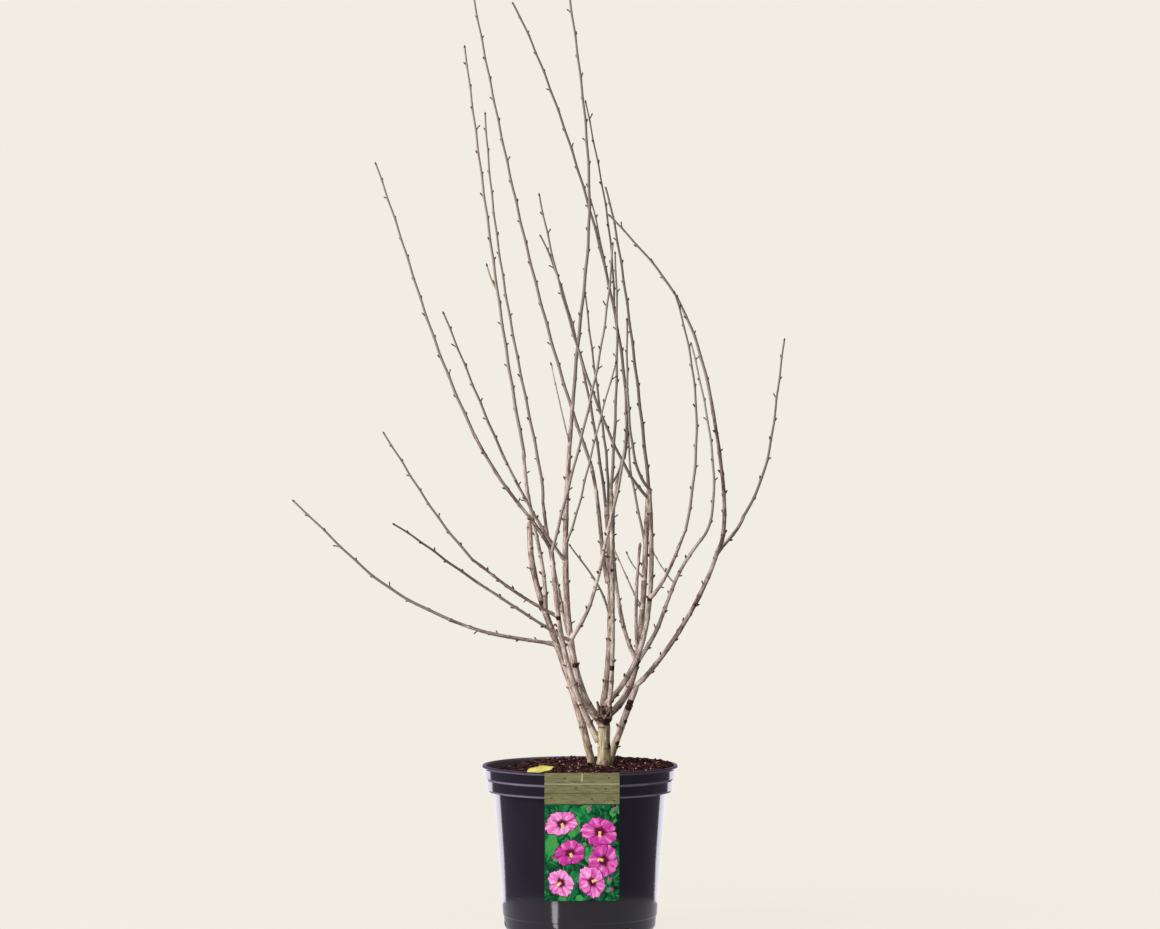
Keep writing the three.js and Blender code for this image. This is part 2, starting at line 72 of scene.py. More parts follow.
# A limb starts at its own foot, or on another limb: at a height on it, or at its tip.
BOUGHS = {
    "bough_centre_pruned": dict(
        foot=(28.5, 30, 300), tip=(39, 75, 615), lean=(12, -3), thick=(10, 8.4),
    ),
    "bough_centre_tall": dict(
        foot=(29.7, 25, 302), tip=(-10, 30, 763), lean=(-48, 5), thick=(12, 5.6),
        sweep=(0.17, 0.46),
        shoots=[dict(at=699, tip=(-41, -40, 813), lean=(-14, -12), thick=(2.8, 1.8))],
    ),
    "bough_inner_right": dict(
        foot=(32, 25, 306), tip=(99, 50, 638), lean=(62, 3), thick=(10.5, 7), sweep=(0.2, 0.65),
        shoots=[
            dict(at=396, tip=(86, 16, 556), lean=(-5, 6), thick=(5.4, 4.4)),
            dict(at=462, tip=(46, 2, 555), lean=(-30, -26), thick=(3.2, 2)),
            dict(at=505, tip=(67, 10, 544), lean=(-36, -20), thick=(3, 1.9)),
        ],
    ),
    "bough_centre_front": dict(
        foot=(38, 20, 304), tip=(44, -35, 636), lean=(16, -1), thick=(6.8, 5.6),
        sweep=(0.13, 0.48),
    ),
    "bough_inner_left": dict(
        foot=(26, 25, 274), tip=(-40, -25, 546), lean=(-27, -5), thick=(9.6, 6.4),
        sweep=(0.43, 0.33),
    ),
    "bough_right_twin": dict(
        foot=(31, 20, 320), tip=(99, -5, 636), lean=(45, -3), thick=(8.4, 6),
        sweep=(0.28, 0.58),
    ),
    "bough_crossing": dict(
        on="bough_inner_right", at=389, tip=(64, 20, 684), lean=(-36, 23), thick=(6.4, 4.6),
        sweep=(0.17, 0.29),
    ),
    "stem_left": dict(
        foot=(18.5, 45, ROOTED), tip=(-73, 85, 586), lean=(-13, 1), thick=(11.5, 8),
        sweep=(0.59, 0.32),
    ),
    "stem_right": dict(
        foot=(41, 68, ROOTED), tip=(82, 60, 352), lean=(16, 20), thick=(11.5, 9.4),
    ),
    "bough_low_left": dict(
        on="stem_left", at=409, tip=(-189, 20, 449), lean=(-77, -66), thick=(5.8, 4.6),
        sweep=(0.32, 0.45),
    ),
    "bough_mid_left": dict(
        on="bough_centre_tall", at=417, tip=(-144, -85, 505), lean=(-60, -56), thick=(5, 3.9),
        sweep=(0.25, 0.35),
    ),
    "bough_upper_left": dict(
        on="bough_inner_left", at=454, tip=(-158, 100, 533), lean=(-65, -55), thick=(4.9, 3.9),
        sweep=(0.39, 0.26),
    ),
    "bough_far_left": dict(
        on="bough_inner_left", tip=(-153, 30, 715), lean=(-26, -28), thick=(5.4, 4.4),
        sweep=(0.31, 0.59),
    ),
    "bough_near_left": dict(
        on="bough_centre_tall", at=531, tip=(-109, -75, 685), lean=(-39, -25), thick=(5, 3.9),
        sweep=(0.24, 0.32),
    ),
    "bough_left_tall": dict(
        on="stem_left", at=456, tip=(-81, 10, 691), lean=(3, -2), thick=(6, 5),
        sweep=(0.33, 0.4),
    ),
    "bough_left_twin": dict(
        on="bough_centre_tall", at=409, tip=(-54, 85, 619), lean=(-14, -4), thick=(6, 4.6),
        sweep=(0.42, 0.18),
    ),
    "bough_middle": dict(
        on="bough_centre_tall", at=420, tip=(46, -60, 604), lean=(38, 14), thick=(6, 4.4),
        sweep=(0.3, 0.37),
    ),
    "bough_centre_left": dict(
        on="bough_centre_pruned", at=499, offset=(-3, 0, 0), tip=(16, 80, 670), lean=(-15, -13),
        thick=(6.6, 5), sweep=(0.31, 0.41),
    ),
    "bough_arch_low": dict(
        on="stem_right", tip=(197, 10, 548), lean=(52, 14), thick=(7.4, 6), sweep=(0.13, 0.33),
    ),
    "bough_arch_high": dict(
        on="bough_arch_low", tip=(185, -50, 762), lean=(36, -11), thick=(6, 4.7),
        sweep=(0.16, 0.3),
    ),
    "bough_right_outer": dict(
        on="bough_inner_right", at=384, tip=(179, 110, 563), lean=(38, 40), thick=(6.4, 5),
        sweep=(0.42, 0.46),
        shoots=[dict(at=498, tip=(106, 70, 544), lean=(-42, -28), thick=(2.8, 1.9))],
    ),
    "bough_right_mid": dict(
        on="bough_right_twin", at=480, tip=(149, -70, 581), lean=(53, 19), thick=(5.6, 4.3),
        sweep=(0.14, 0.37),
    ),
    "bough_far_right": dict(
        on="bough_arch_low", at=543, tip=(236, 40, 597), lean=(39, 19), thick=(5.4, 4.4),
        sweep=(0.33, 0.33),
    ),
}

WHIPS = {
    "twigs_centre_tall": dict(
        on="bough_centre_tall", tip=(-21, 10, 1378), lean=(4, -9), thick=(5, 2.6),
        sweep=(0.37, 0.62),
    ),
    "twigs_low_left": dict(
        on="bough_low_left", tip=(-407, -60, 622), lean=(-66, -46), thick=(4.4, 2.4),
        sweep=(0.41, 0.45),
    ),
    "twigs_mid_left": dict(
        on="bough_mid_left", tip=(-256, -230, 591), lean=(-54, -57), thick=(3.8, 2.2),
        sweep=(0.35, 0.28),
    ),
    "twigs_upper_left": dict(
        on="bough_upper_left", tip=(-297, 250, 721), lean=(-43, -34), thick=(3.8, 2.3),
        sweep=(0.33, 0.37),
    ),
    "twigs_far_left": dict(
        on="bough_far_left", tip=(-300, 110, 1114), lean=(-25, -20), thick=(4.3, 2.3),
        sweep=(0.41, 0.45),
    ),
    "twigs_near_left": dict(
        on="bough_near_left", tip=(-189, -190, 882), lean=(-24, -22), thick=(3.8, 2.3),
        sweep=(0.21, 0.33),
    ),
    "twigs_left_tall": dict(
        on="bough_left_tall", tip=(-161, -120, 1256), lean=(-11, -7), thick=(4.8, 2.4),
        sweep=(0.24, 0.26),
        shoots=[dict(at=916, tip=(-133, -40, 957), lean=(-34, -14), thick=(2.6, 1.8))],
    ),
    "twigs_left_twin": dict(
        on="bough_left_twin", tip=(-141, 190, 1196), lean=(3, -3), thick=(4.4, 2.3),
        sweep=(0.1, 0.49),
    ),
    "twigs_front_right": dict(
        on="bough_inner_left", tip=(45, -210, 976), lean=(14, 3), thick=(4.4, 2.4),
        sweep=(0.37, 0.34),
    ),
    "twigs_middle": dict(
        on="bough_middle", tip=(65, -120, 746), lean=(14, 0), thick=(4.2, 2.2),
    ),
    "twigs_front_middle": dict(
        on="bough_centre_tall", at=555, tip=(51, -130, 816), lean=(23, 16), thick=(3.4, 2),
        sweep=(0.22, 0.61),
    ),
    "twigs_back_low": dict(
        on="bough_centre_pruned", at=447, tip=(-17, 105, 556), lean=(-15, -32), thick=(3.4, 2),
        sweep=(0.51, 0.34),
    ),
    "twigs_centre_left": dict(
        on="bough_centre_left", tip=(-162, 130, 1385), lean=(-20, -11), thick=(4.8, 2.4),
        sweep=(0.32, 0.32),
    ),
    "twigs_front_left": dict(
        on="bough_inner_right", at=623, tip=(-56, -240, 1040), lean=(-48, -11),
        thick=(4.6, 2.3), sweep=(0.13, 0.36),
    ),
    "twigs_back_left": dict(
        on="bough_centre_pruned", offset=(-2.4, -1.2, 0), tip=(-61, 230, 1016), lean=(-6, -28),
        thick=(4.4, 2.2), sweep=(0.23, 0.25),
    ),
    "twigs_back": dict(
        on="bough_centre_pruned", offset=(2, 2, 0), tip=(8, 270, 928), lean=(1, -6),
        thick=(4.2, 2.2), sweep=(0.24, 0.49),
    ),
    "twigs_back_tall": dict(
        on="bough_crossing", tip=(-101, 170, 1356), lean=(8, -29), thick=(4.6, 2.6),
        sweep=(0.26, 0.16),
        shoots=[
            dict(at=939, tip=(14, 40, 1056), lean=(-12, -18), thick=(2.6, 1.7)),
            dict(at=895, tip=(7, -60, 1186), lean=(0, -12), thick=(3, 1.8)),
        ],
    ),
    "twigs_front_centre": dict(
        on="bough_centre_front", tip=(49, -90, 971), lean=(4, -3), thick=(4.6, 2.2),
        shoots=[dict(at=642, tip=(67, -20, 734), lean=(36, 4), thick=(3, 1.9))],
    ),
    "twigs_front": dict(
        on="bough_right_twin", tip=(64, -200, 872), lean=(-54, -2), thick=(4.4, 2.2),
        sweep=(0.15, 0.18),
    ),
    "twigs_right_low": dict(
        on="bough_inner_right", at=542, tip=(71, 110, 721), lean=(-5, 2), thick=(4, 2.4),
        sweep=(0.34, 0.39),
    ),
    "twigs_right_tall": dict(
        on="bough_inner_right", tip=(37, 160, 1082), lean=(-5, -19), thick=(5, 2.6),
        sweep=(0.21, 0.15),
    ),
    "twigs_arch": dict(
        on="bough_arch_high", tip=(38, -150, 1018), lean=(-11, -44), thick=(4.6, 2.3),
        sweep=(0.47, 0.33),
    ),
    "twigs_right_outer": dict(
        on="bough_right_outer", tip=(165, 220, 855), lean=(39, -14), thick=(4.2, 2.2),
        sweep=(0.18, 0.36),
    ),
    "twigs_right_mid": dict(
        on="bough_right_mid", tip=(127, -230, 908), lean=(11, -20), thick=(4.2, 2.2),
        sweep=(0.42, 0.21),
    ),
    "twigs_far_right": dict(
        on="bough_far_right", tip=(300, 120, 857), lean=(32, 9), thick=(4.2, 2.3),
        sweep=(0.31, 0.5),
    ),
}

# The limbs that grow from one base, which are fused into one piece of bark.
FAMILIES = {
    "boughs_centre": ("bough_centre_pruned", "bough_centre_left"),
    "boughs_tall": (
        "bough_centre_tall", "bough_mid_left", "bough_near_left", "bough_left_twin",
        "bough_middle",
    ),
    "boughs_inner_right": ("bough_inner_right", "bough_crossing", "bough_right_outer"),
    "boughs_front": ("bough_centre_front",),
    "boughs_inner_left": ("bough_inner_left", "bough_upper_left", "bough_far_left"),
    "boughs_right": ("bough_right_twin", "bough_right_mid"),
    "boughs_left_stem": ("stem_left", "bough_low_left", "bough_left_tall"),
    "boughs_arch": ("stem_right", "bough_arch_low", "bough_arch_high", "bough_far_right"),
}
FORK_LIMBS = (
    "bough_centre_pruned", "bough_centre_tall", "bough_inner_right", "bough_centre_front",
    "bough_inner_left", "bough_right_twin",
)


def seeded_random(text):
    """The same 32-bit linear congruential numbers as the solids, seeded by a name."""
    state = 1
    for letter in text:
        state = (state * 31 + ord(letter)) & 0xFFFFFFFF
    while True:
        state = (state * 1664525 + 1013904223) & 0xFFFFFFFF
        yield state / 4294967296


def draw(random, low, high):
    """The next random number, between low and high."""
    return low + (high - low) * next(random)


def unit(vector):
    return vector / np.linalg.norm(vector)


def at_distances(wanted, run, points):
    """Points at the wanted distances along a line whose own points lie at run."""
    return np.stack([np.interp(wanted, run, points[:, axis]) for axis in range(3)], axis=1)


def run_of(line):
    """How far along the line each of its points lies."""
    return np.concatenate([[0], np.cumsum(np.linalg.norm(np.diff(line, axis=0), axis=1))])


def length_of(line):
    return np.linalg.norm(np.diff(line, axis=0), axis=1).sum()


def evenly(points, count):
    """Points spaced evenly by length along a line of points."""
    run = run_of(points)
    return at_distances(np.linspace(0, run[-1], count), run, points)


def limb_line(base, tip, lean, sweep=(1 / 3, 1 / 3)):
    """A limb's middle line, set by its ends and by how far it leans at each of them."""
    base, tip = np.array(base, float), np.array(tip, float)
    length = np.linalg.norm(tip - base)
    depth = (tip[1] - base[1]) / 3

    def handle(end, angle, reach, side):
        turn = math.radians(angle)
        return end + side * np.array([reach * math.sin(turn), depth, reach * math.cos(turn)])

    near = handle(base, lean[0], length * sweep[0], 1)
    far = handle(tip, lean[1], length * sweep[1], -1)
    t = np.linspace(0, 1, LIMB_SAMPLES + 1)[:, None]
    points = (1 - t) ** 3 * base + 3 * (1 - t) ** 2 * t * near
    points += 3 * (1 - t) * t ** 2 * far + t ** 3 * tip
    return evenly(points, LIMB_SAMPLES + 1)


def at_height(line, height):
    return line[np.argmin(np.abs(line[:, 2] - height))].copy()


def directions(line):
    """Along the line, and the two directions square to it, from front to back."""
    along = np.gradient(line, axis=0)
    along /= np.linalg.norm(along, axis=1)[:, None]
    sideways = np.cross(along, (0, 1, 0))
    sideways /= np.linalg.norm(sideways, axis=1)[:, None]
    return along, sideways, np.cross(sideways, along)


def turned(angle, first, second):
    """The direction at an angle from one direction towards another square to it."""
    return math.cos(angle) * first + math.sin(angle) * second


def grow(rows, limbs):
    """Adds each row's line and thickness to the limbs, in order, parents first."""
    for name, row in rows.items():
        if "foot" in row:
            base = np.array(row["foot"], float)
        elif "at" in row:
            base = at_height(limbs[row["on"]]["line"], row["at"])
        else:
            base = limbs[row["on"]]["line"][-1].copy()
        base += np.array(row.get("offset", (0, 0, 0)))
        line = limb_line(base, row["tip"], row["lean"], row.get("sweep", (1 / 3, 1 / 3)))
        limbs[name] = dict(line=line, thick=row["thick"], row=row)
    return limbs


limbs = grow(WHIPS, grow(BOUGHS, grow({"trunk": TRUNK}, {})))


def shoots_of(name):
    """The long side shoots of a limb, each with its line and thickness."""
    limb = limbs[name]
    for shoot in limb["row"].get("shoots", []):
        start = at_height(limb["line"], shoot["at"])
        yield dict(line=limb_line(start, shoot["tip"], shoot["lean"]), thick=shoot["thick"])


# ---------------------------------------------------------------- meshes from arrays


FOOT_DOME, TIP_DOME = 0.3, 0.7    # how far a tube's ends stand out, as shares of its radius


def tube_triangles(rings, sides):
    """The faces of a tube whose two end points come after its rings."""
    ring, side = np.meshgrid(np.arange(rings - 1), np.arange(sides), indexing="ij")
    a = ring * sides + side
    b = ring * sides + (side + 1) % sides
    c, d = b + sides, a + sides
    walls = np.stack([a, d, c, a, c, b], axis=-1).reshape(-1, 3)
    j = np.arange(sides)
    first, last = rings * sides, rings * sides + 1
    foot = np.stack([np.full(sides, first), j, (j + 1) % sides], axis=1)
    top = (rings - 1) * sides
    head = np.stack([np.full(sides, last), top + (j + 1) % sides, top + j], axis=1)
    return np.concatenate([walls, foot, head])


def tube(line, radii, sides):
    """A closed tube: points, triangles, and each point's place in the limb's own grain."""
    along, sideways, outwards = directions(line)
    turn = np.arange(sides) * 2 * math.pi / sides
    across, deep = np.cos(turn), np.sin(turn)
    ring = across[None, :, None] * sideways[:, None] + deep[None, :, None] * outwards[:, None]
    skin = (line[:, None] + ring * radii[:, None, None]).reshape(-1, 3)
    ends = [line[0] - along[0] * radii[0] * FOOT_DOME, line[-1] + along[-1] * radii[-1] * TIP_DOME]
    run = run_of(line)
    grain = np.stack([
        np.outer(radii, across), np.outer(radii, deep), np.repeat(run[:, None], sides, axis=1),
    ], axis=-1).reshape(-1, 3)
    grain_ends = [[0, 0, run[0]], [0, 0, run[-1]]]
    faces = tube_triangles(len(line), sides)
    return np.concatenate([skin, ends]), faces, np.concatenate([grain, grain_ends])


class Heap:
    """Many small shapes that become one joined mesh, with a material number for each face."""

    def __init__(self):
        self.points, self.faces, self.grain, self.finish, self.count = [], [], [], [], 0

    def add(self, points, faces, grain=None, finish=0):
        self.points.append(points)
        self.faces.append(faces + self.count)
        self.grain.append(points if grain is None else grain)
        self.finish.append(np.full(len(faces), finish))
        self.count += len(points)

    def piece(self, name, *materials, smooth=True):
        mesh = bpy.data.meshes.new(name)
        points = np.concatenate(self.points) * MM
        mesh.from_pydata(points.tolist(), [], np.concatenate(self.faces).tolist())
        for material in materials:
            mesh.materials.append(material)
        mesh.polygons.foreach_set("material_index", np.concatenate(self.finish))
        mesh.polygons.foreach_set("use_smooth", np.full(len(mesh.polygons), smooth))
        set_points(mesh, "grain", np.concatenate(self.grain))
        piece = bpy.data.objects.new(name, mesh)
        bpy.context.scene.collection.objects.link(piece)
        return piece


def set_points(mesh, name, values):
    """Stores one number or one vector for each point of a mesh."""
    kind, key = ("FLOAT", "value") if values.ndim == 1 else ("FLOAT_VECTOR", "vector")
    attribute = mesh.attributes.get(name) or mesh.attributes.new(name, kind, "POINT")
    attribute.data.foreach_set(key, values.astype(np.float32).ravel())


def points_of(mesh):
    flat = np.empty(len(mesh.vertices) * 3, np.float32)
    mesh.vertices.foreach_get("co", flat)
    return flat.reshape(-1, 3).astype(float)


def normals_of(mesh):
    flat = np.empty(len(mesh.vertices) * 3, np.float32)
    mesh.vertex_normals.foreach_get("vector", flat)
    return flat.reshape(-1, 3).astype(float)


def select_only(piece):
    """Leaves one piece selected, for the operators that act on all that is."""
    bpy.ops.object.select_all(action="DESELECT")
    piece.select_set(True)
    bpy.context.view_layer.objects.active = piece


def primitive(add, name, scale=(1, 1, 1), **settings):
    """Adds one of Blender's primitives and puts its size and place into its mesh."""
    bpy.ops.object.select_all(action="DESELECT")
    add(**settings)
    piece = bpy.context.active_object
    piece.name = piece.data.name = name
    piece.scale = scale
    bpy.ops.object.transform_apply(location=True, rotation=True, scale=True)
    return piece


def apply_modifier(piece, kind, **settings):
    """Puts a modifier on a piece and works it into its mesh."""
    select_only(piece)
    modifier = piece.modifiers.new(kind.lower(), kind)
    for key, value in settings.items():
        setattr(modifier, key, value)
    bpy.ops.object.modifier_apply(modifier=modifier.name)


def finished(piece, slot, *nodes):
    """Every piece rides on the one body and stands for its nodes; the slot is not used."""
    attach(piece, "root")
    if nodes:
        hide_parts(*nodes)
    return piece


# ---------------------------------------------------------------- finishes


def srgb(code):
    """A colour from its sRGB hex code, made linear."""
    parts = [int(code[i:i + 2], 16) / 255 for i in (1, 3, 5)]
    return tuple(p / 12.92 if p <= 0.04045 else ((p + 0.055) / 1.055) ** 2.4 for p in parts) + (1,)


def set_inputs(node, inputs):
    """Sets a node's inputs: a hex code becomes a colour, and another node's output a link."""
    for key, value in inputs.items():
        if isinstance(value, bpy.types.NodeSocket):
            node.id_data.links.new(value, node.inputs[key])
        else:
            node.inputs[key].default_value = srgb(value) if isinstance(value, str) else value


def add_node(tree, kind, output=None, inputs=None, stops=(), **settings):
    """Adds a node with its settings, inputs and colour stops, and gives one or all outputs."""
    node = tree.nodes.new("ShaderNode" + kind)
    for key, value in settings.items():
        setattr(node, key, value)
    for _ in stops[2:]:
        node.color_ramp.elements.new(1)
    for number, (place, colour) in enumerate(stops):
        element = node.color_ramp.elements[number]
        element.position, element.color = place, srgb(colour)
    set_inputs(node, inputs or {})
    return node.outputs if output is None else node.outputs[output]


def new_material(name):
    """A material, its shader, and add_node for its own tree."""
    material = bpy.data.materials.new(name)
    material.use_nodes = True
    tree = material.node_tree
    return material, tree.nodes["Principled BSDF"], functools.partial(add_node, tree)


def show(material, surface):
    """Makes another shader than the Principled one what the surface shows."""
    set_inputs(material.node_tree.nodes["Material Output"], {"Surface": surface})


LEDGES = (200, 245)               # the heights over which the painted highlights on the ledges and the lip lie
LEDGE_HIGHLIGHTS = [                   # painted highlights along the ledges and the lip, from the one height to the other
    (0.1, "#000000"), (0.145, "#ffffff"), (0.19, "#000000"), (0.47, "#000000"),
    (0.515, "#ffffff"), (0.56, "#000000"), (0.83, "#000000"), (0.87, "#bcbcbc"),
    (0.91, "#000000"),
]
FLOW_MARK, SPECK, DUST_PATCH = (60, 60, 9), 2.5, 45      # millimetres
FLOW_RELIEF = 0.35


# Injection-moulded polypropylene: a smooth violet black skin that mirrors what is bright round
# it, with faint flow marks, painted pale highlights along its ledges and lip, and an inner wall
# lightened partly by dried peat dust, partly as a painted reflection.
def moulded_polypropylene():
    material, shader, add = new_material("moulded_black_polypropylene")
    place = add("TexCoord", "Object")
    along = add("Mapping", 0, {"Vector": place, "Scale": [1 / (size * MM) for size in FLOW_MARK]})
    flow = add("TexNoise", "Fac", {"Vector": along, "Scale": 1.0, "Detail": 3.0})
    specks = add("TexNoise", "Fac", {"Vector": place, "Scale": 1 / (SPECK * MM), "Detail": 2.0})
    dust = add("TexNoise", "Fac", {"Vector": place, "Scale": 1 / (DUST_PATCH * MM), "Detail": 4.0})
    tint = add("ValToRGB", "Color", {"Fac": dust}, stops=[(0.35, "#0e0b13"), (0.75, "#130f18")])
    inside = add("Attribute", "Fac", attribute_name="inside")
    height = add("SeparateXYZ", "Z", {0: place})
    level = add("MapRange", 0, {
        "Value": height, "From Min": LEDGES[0] * MM, "From Max": LEDGES[1] * MM})
    # Painted highlights: pale lines on the ledges and the lip, where the gloss would catch light.
    highlight_mask = add("ValToRGB", "Color", {"Fac": level}, stops=LEDGE_HIGHLIGHTS)
    painted_highlights = add("Mix", 2, {0: highlight_mask, 6: tint, 7: "#746e84"}, data_type="RGBA")
    # The inner wall is lightened: partly dried peat dust, partly a painted reflection.
    dust_and_sheen = add("Mix", 2, {0: inside, 6: painted_highlights, 7: "#5d5759"}, data_type="RGBA")
    polish = add("MapRange", 0, {
        "Value": specks, "From Min": 0.3, "From Max": 0.75, "To Min": 0.1, "To Max": 0.14})
    waves = add("Bump", "Normal", {"Height": flow, "Distance": FLOW_RELIEF * MM, "Strength": 0.25})
    set_inputs(shader, {"Base Color": dust_and_sheen, "Roughness": polish, "IOR": 1.5, "Normal": waves})
    return material


FEET_MIDDLE = (33 * MM, 18 * MM, 240 * MM)
FOOT_SHADE_FROM, FOOT_SHADE_TO = 22, 40       # from the middle of the feet outwards
CLOD, GRIT, GRIT_RELIEF = 7, 1.6, 1.2


# Moist sphagnum peat: nearly black brown, matt, with redder fibres where it has dried, and with
# a painted shade round the feet of the stems.
def moist_peat():
    material, shader, add = new_material("moist_peat")
    place = add("TexCoord", "Object")
    clods = add("TexNoise", "Fac", {"Vector": place, "Scale": 1 / (CLOD * MM), "Detail": 5.0})
    grit = add("TexNoise", "Fac", {"Vector": place, "Scale": 1 / (GRIT * MM), "Detail": 3.0})
    tint = add("ValToRGB", "Color", {"Fac": clods}, stops=[
        (0.3, "#110809"), (0.5, "#241213"), (0.72, "#3f2223")])
    # Painted shade: darker round the feet of the stems, where they would shadow the peat.
    away = add("VectorMath", "Value", {0: place, 1: FEET_MIDDLE}, operation="DISTANCE")
    foot_shade = add("MapRange", 0, {
        "Value": away, "From Min": FOOT_SHADE_FROM * MM, "From Max": FOOT_SHADE_TO * MM,
        "To Min": 0.8, "To Max": 0.0})
    shaded_round_feet = add("Mix", 2, {0: foot_shade, 6: tint, 7: "#0b0606"}, data_type="RGBA")
    crumbs = add("Bump", "Normal", {"Height": grit, "Distance": GRIT_RELIEF * MM, "Strength": 0.8})
    set_inputs(shader, {
        "Base Color": shaded_round_feet, "Roughness": 0.92, "Specular IOR Level": 0.2, "Normal": crumbs})
    return material


OLIVE_BARK = [(0.35, "#5a4e36"), (0.49, "#8a7f63"), (0.63, "#b7ab8f")]
PINK_BARK = [(0.36, "#433530"), (0.49, "#8c7b73"), (0.62, "#c9b9b0")]
YOUNG_BARK = [(0.36, "#463a34"), (0.49, "#80726a"), (0.62, "#b3a69d")]
FIBRE_STRETCH = 9                 # how many times longer than wide a fibre of bark is
PATCH_WIDE, PATCH_LONG = 6, 22    # weathered patches, in millimetres
OLIVE_FADE = 45                   # over this height the olive bark gives way to the pink
BORDER_WAVE = 40                  # how unevenly it and the darkening at the foot end
DARK_FOOT_FROM, DARK_FOOT_TO = 256, 278
PORE_WIDE, PORE_LONG = 2.6, 3.4


# Bark: a thin dry skin in long fibres, olive near the soil and pinkish grey above it, darker
# and smoother on young wood, with pale breathing pores, dark old bud scars, and darker towards its
# foot. The fibres are drawn coarser than life so that they show. The grain attribute is the
# place round and along the limb, in millimetres; young and scar are shares, and tone is painted
# shade and light by each bough's lean, plus a set amount lighter or darker for some boughs.
def bark(name, fibre, relief, pores, olive_top):
    material, shader, add = new_material(name)
    grain = add("Attribute", "Vector", attribute_name="grain")
    scar = add("Attribute", "Fac", attribute_name="scar")
    young = add("Attribute", "Fac", attribute_name="young")
    place = add("TexCoord", "Object")
    height = add("SeparateXYZ", "Z", {0: place})
    stretched = add("Mapping", 0, {
        "Vector": grain, "Scale": (1 / fibre, 1 / fibre, 1 / (FIBRE_STRETCH * fibre))})
    fibres = add("TexNoise", "Fac", {
        "Vector": stretched, "Scale": 1.0, "Detail": 4.0, "Roughness": 0.6})
    patches = add("Mapping", 0, {
        "Vector": grain, "Scale": (1 / PATCH_WIDE, 1 / PATCH_WIDE, 1 / PATCH_LONG)})
    weather = add("TexNoise", "Fac", {"Vector": patches, "Scale": 1.0, "Detail": 3.0})
    # Tone: painted shade and light by each bough's lean, plus a set amount for some boughs.
    tone = add("Attribute", "Fac", attribute_name="tone")
    blended = add("Mix", 0, {0: 0.45, 2: fibres, 3: weather}, data_type="FLOAT")
    shade = add("Math", 0, {0: blended, 1: tone}, operation="ADD")
    low = add("ValToRGB", 0, {"Fac": shade}, stops=OLIVE_BARK)
    high = add("ValToRGB", 0, {"Fac": shade}, stops=PINK_BARK)
    thin = add("ValToRGB", 0, {"Fac": shade}, stops=YOUNG_BARK)
    uneven = add("Math", 0, {0: weather, 1: BORDER_WAVE * MM, 2: height}, operation="MULTIPLY_ADD")
    risen = add("MapRange", 0, {
        "Value": uneven, "From Min": olive_top * MM, "From Max": (olive_top + OLIVE_FADE) * MM})
    grown = add("Mix", 2, {0: risen, 6: low, 7: high}, data_type="RGBA")
    aged = add("Mix", 2, {0: young, 6: grown, 7: thin}, data_type="RGBA")
    dots = add("Mapping", 0, {
        "Vector": grain, "Scale": (1 / PORE_WIDE, 1 / PORE_WIDE, 1 / PORE_LONG)})
    cells = add("TexVoronoi", "Distance", {"Vector": dots, "Scale": 1.0})
    pore = add("MapRange", 0, {
        "Value": cells, "From Min": 0.16, "From Max": 0.3, "To Min": pores, "To Max": 0.0})
    dotted = add("Mix", 2, {0: pore, 6: aged, 7: "#d3c6b9"}, data_type="RGBA")
    rough = add("MapRange", 0, {"Value": scar, "From Max": 0.5})
    deep = add("MapRange", 0, {"Value": scar, "From Min": 0.45})
    browned = add("Mix", 2, {0: rough, 6: dotted, 7: "#5c4338"}, data_type="RGBA")
    scarred = add("Mix", 2, {0: deep, 6: browned, 7: "#1d1210"}, data_type="RGBA")
    # Darker towards the foot of each stem, just above the soil.
    foot_darkening = add("MapRange", 0, {
        "Value": uneven, "From Min": DARK_FOOT_FROM * MM, "From Max": DARK_FOOT_TO * MM,
        "To Min": 0.85, "To Max": 0.0})
    darkened_foot = add("Mix", 2, {0: foot_darkening, 6: scarred, 7: "#3a291f"}, data_type="RGBA")
    ridges = add("Bump", "Normal", {"Height": fibres, "Distance": relief * MM, "Strength": 0.8})
    set_inputs(shader, {
        "Base Color": darkened_foot, "Roughness": 0.85, "Specular IOR Level": 0.25, "Normal": ridges})
    return material


# Plain finishes for what is too small to show a pattern: twigs, buds, flecks, printed inks.
def plain(name, code, roughness, specular=0.5):
    material, shader, _ = new_material(name)
    set_inputs(shader, {
        "Base Color": code, "Roughness": roughness, "Specular IOR Level": specular})
    return material


# ---------------------------------------------------------------- trunk and boughs

BARK_SIDES = 28
BARK_RING = 3.0                   # between the rings of a bough, before its skin is fused
VOXEL = 0.8
SMOOTHING = dict(factor=0.5, iterations=3)
OLD_RADIUS, YOUNG_RADIUS = 5.4, 2.8       # between them a bough's bark turns young
ROOT_FLARE, ROOT_FLARE_UP = 2.2, 22       # of the stems that rise beside the trunk
COLLAR = 0.5                      # how much thicker a bough is where it leaves its parent
SKIN_OVER = 0.1                   # bark over the solid
SLIM_FROM, SLIM_SHARE = 3.5, 0.08         # the thick stretches give some of it back
FORK_OVER = (0.6, -0.9)           # the trunk's bark over its boughs, at the fork and higher up
TRUNK_RELIEF = dict(depth=0.55, crack=2.0)
BOUGH_RELIEF = dict(depth=0.28, crack=1.4)
SWELL_WIDE, SWELL_LONG, SWELL_SHARE = 7, 24, 1.3          # the slow unevenness of a limb
RING_HALF, RING_RISE, BUD_SIDE_RISE = 2.6, 0.25, 0.55     # rings where buds have been
SCAR_HALF, SCAR_DARK = 1.1, 0.75
FORK_LUMP, FORK_LUMP_RISE = 4.2, 0.9
GRAIN_SHIFT = 137                 # so that no two strands share their grain
LEAN_SHADE = 0.22                  # painted shade: how much darker a bough's bark is drawn where it leans back, lighter forward
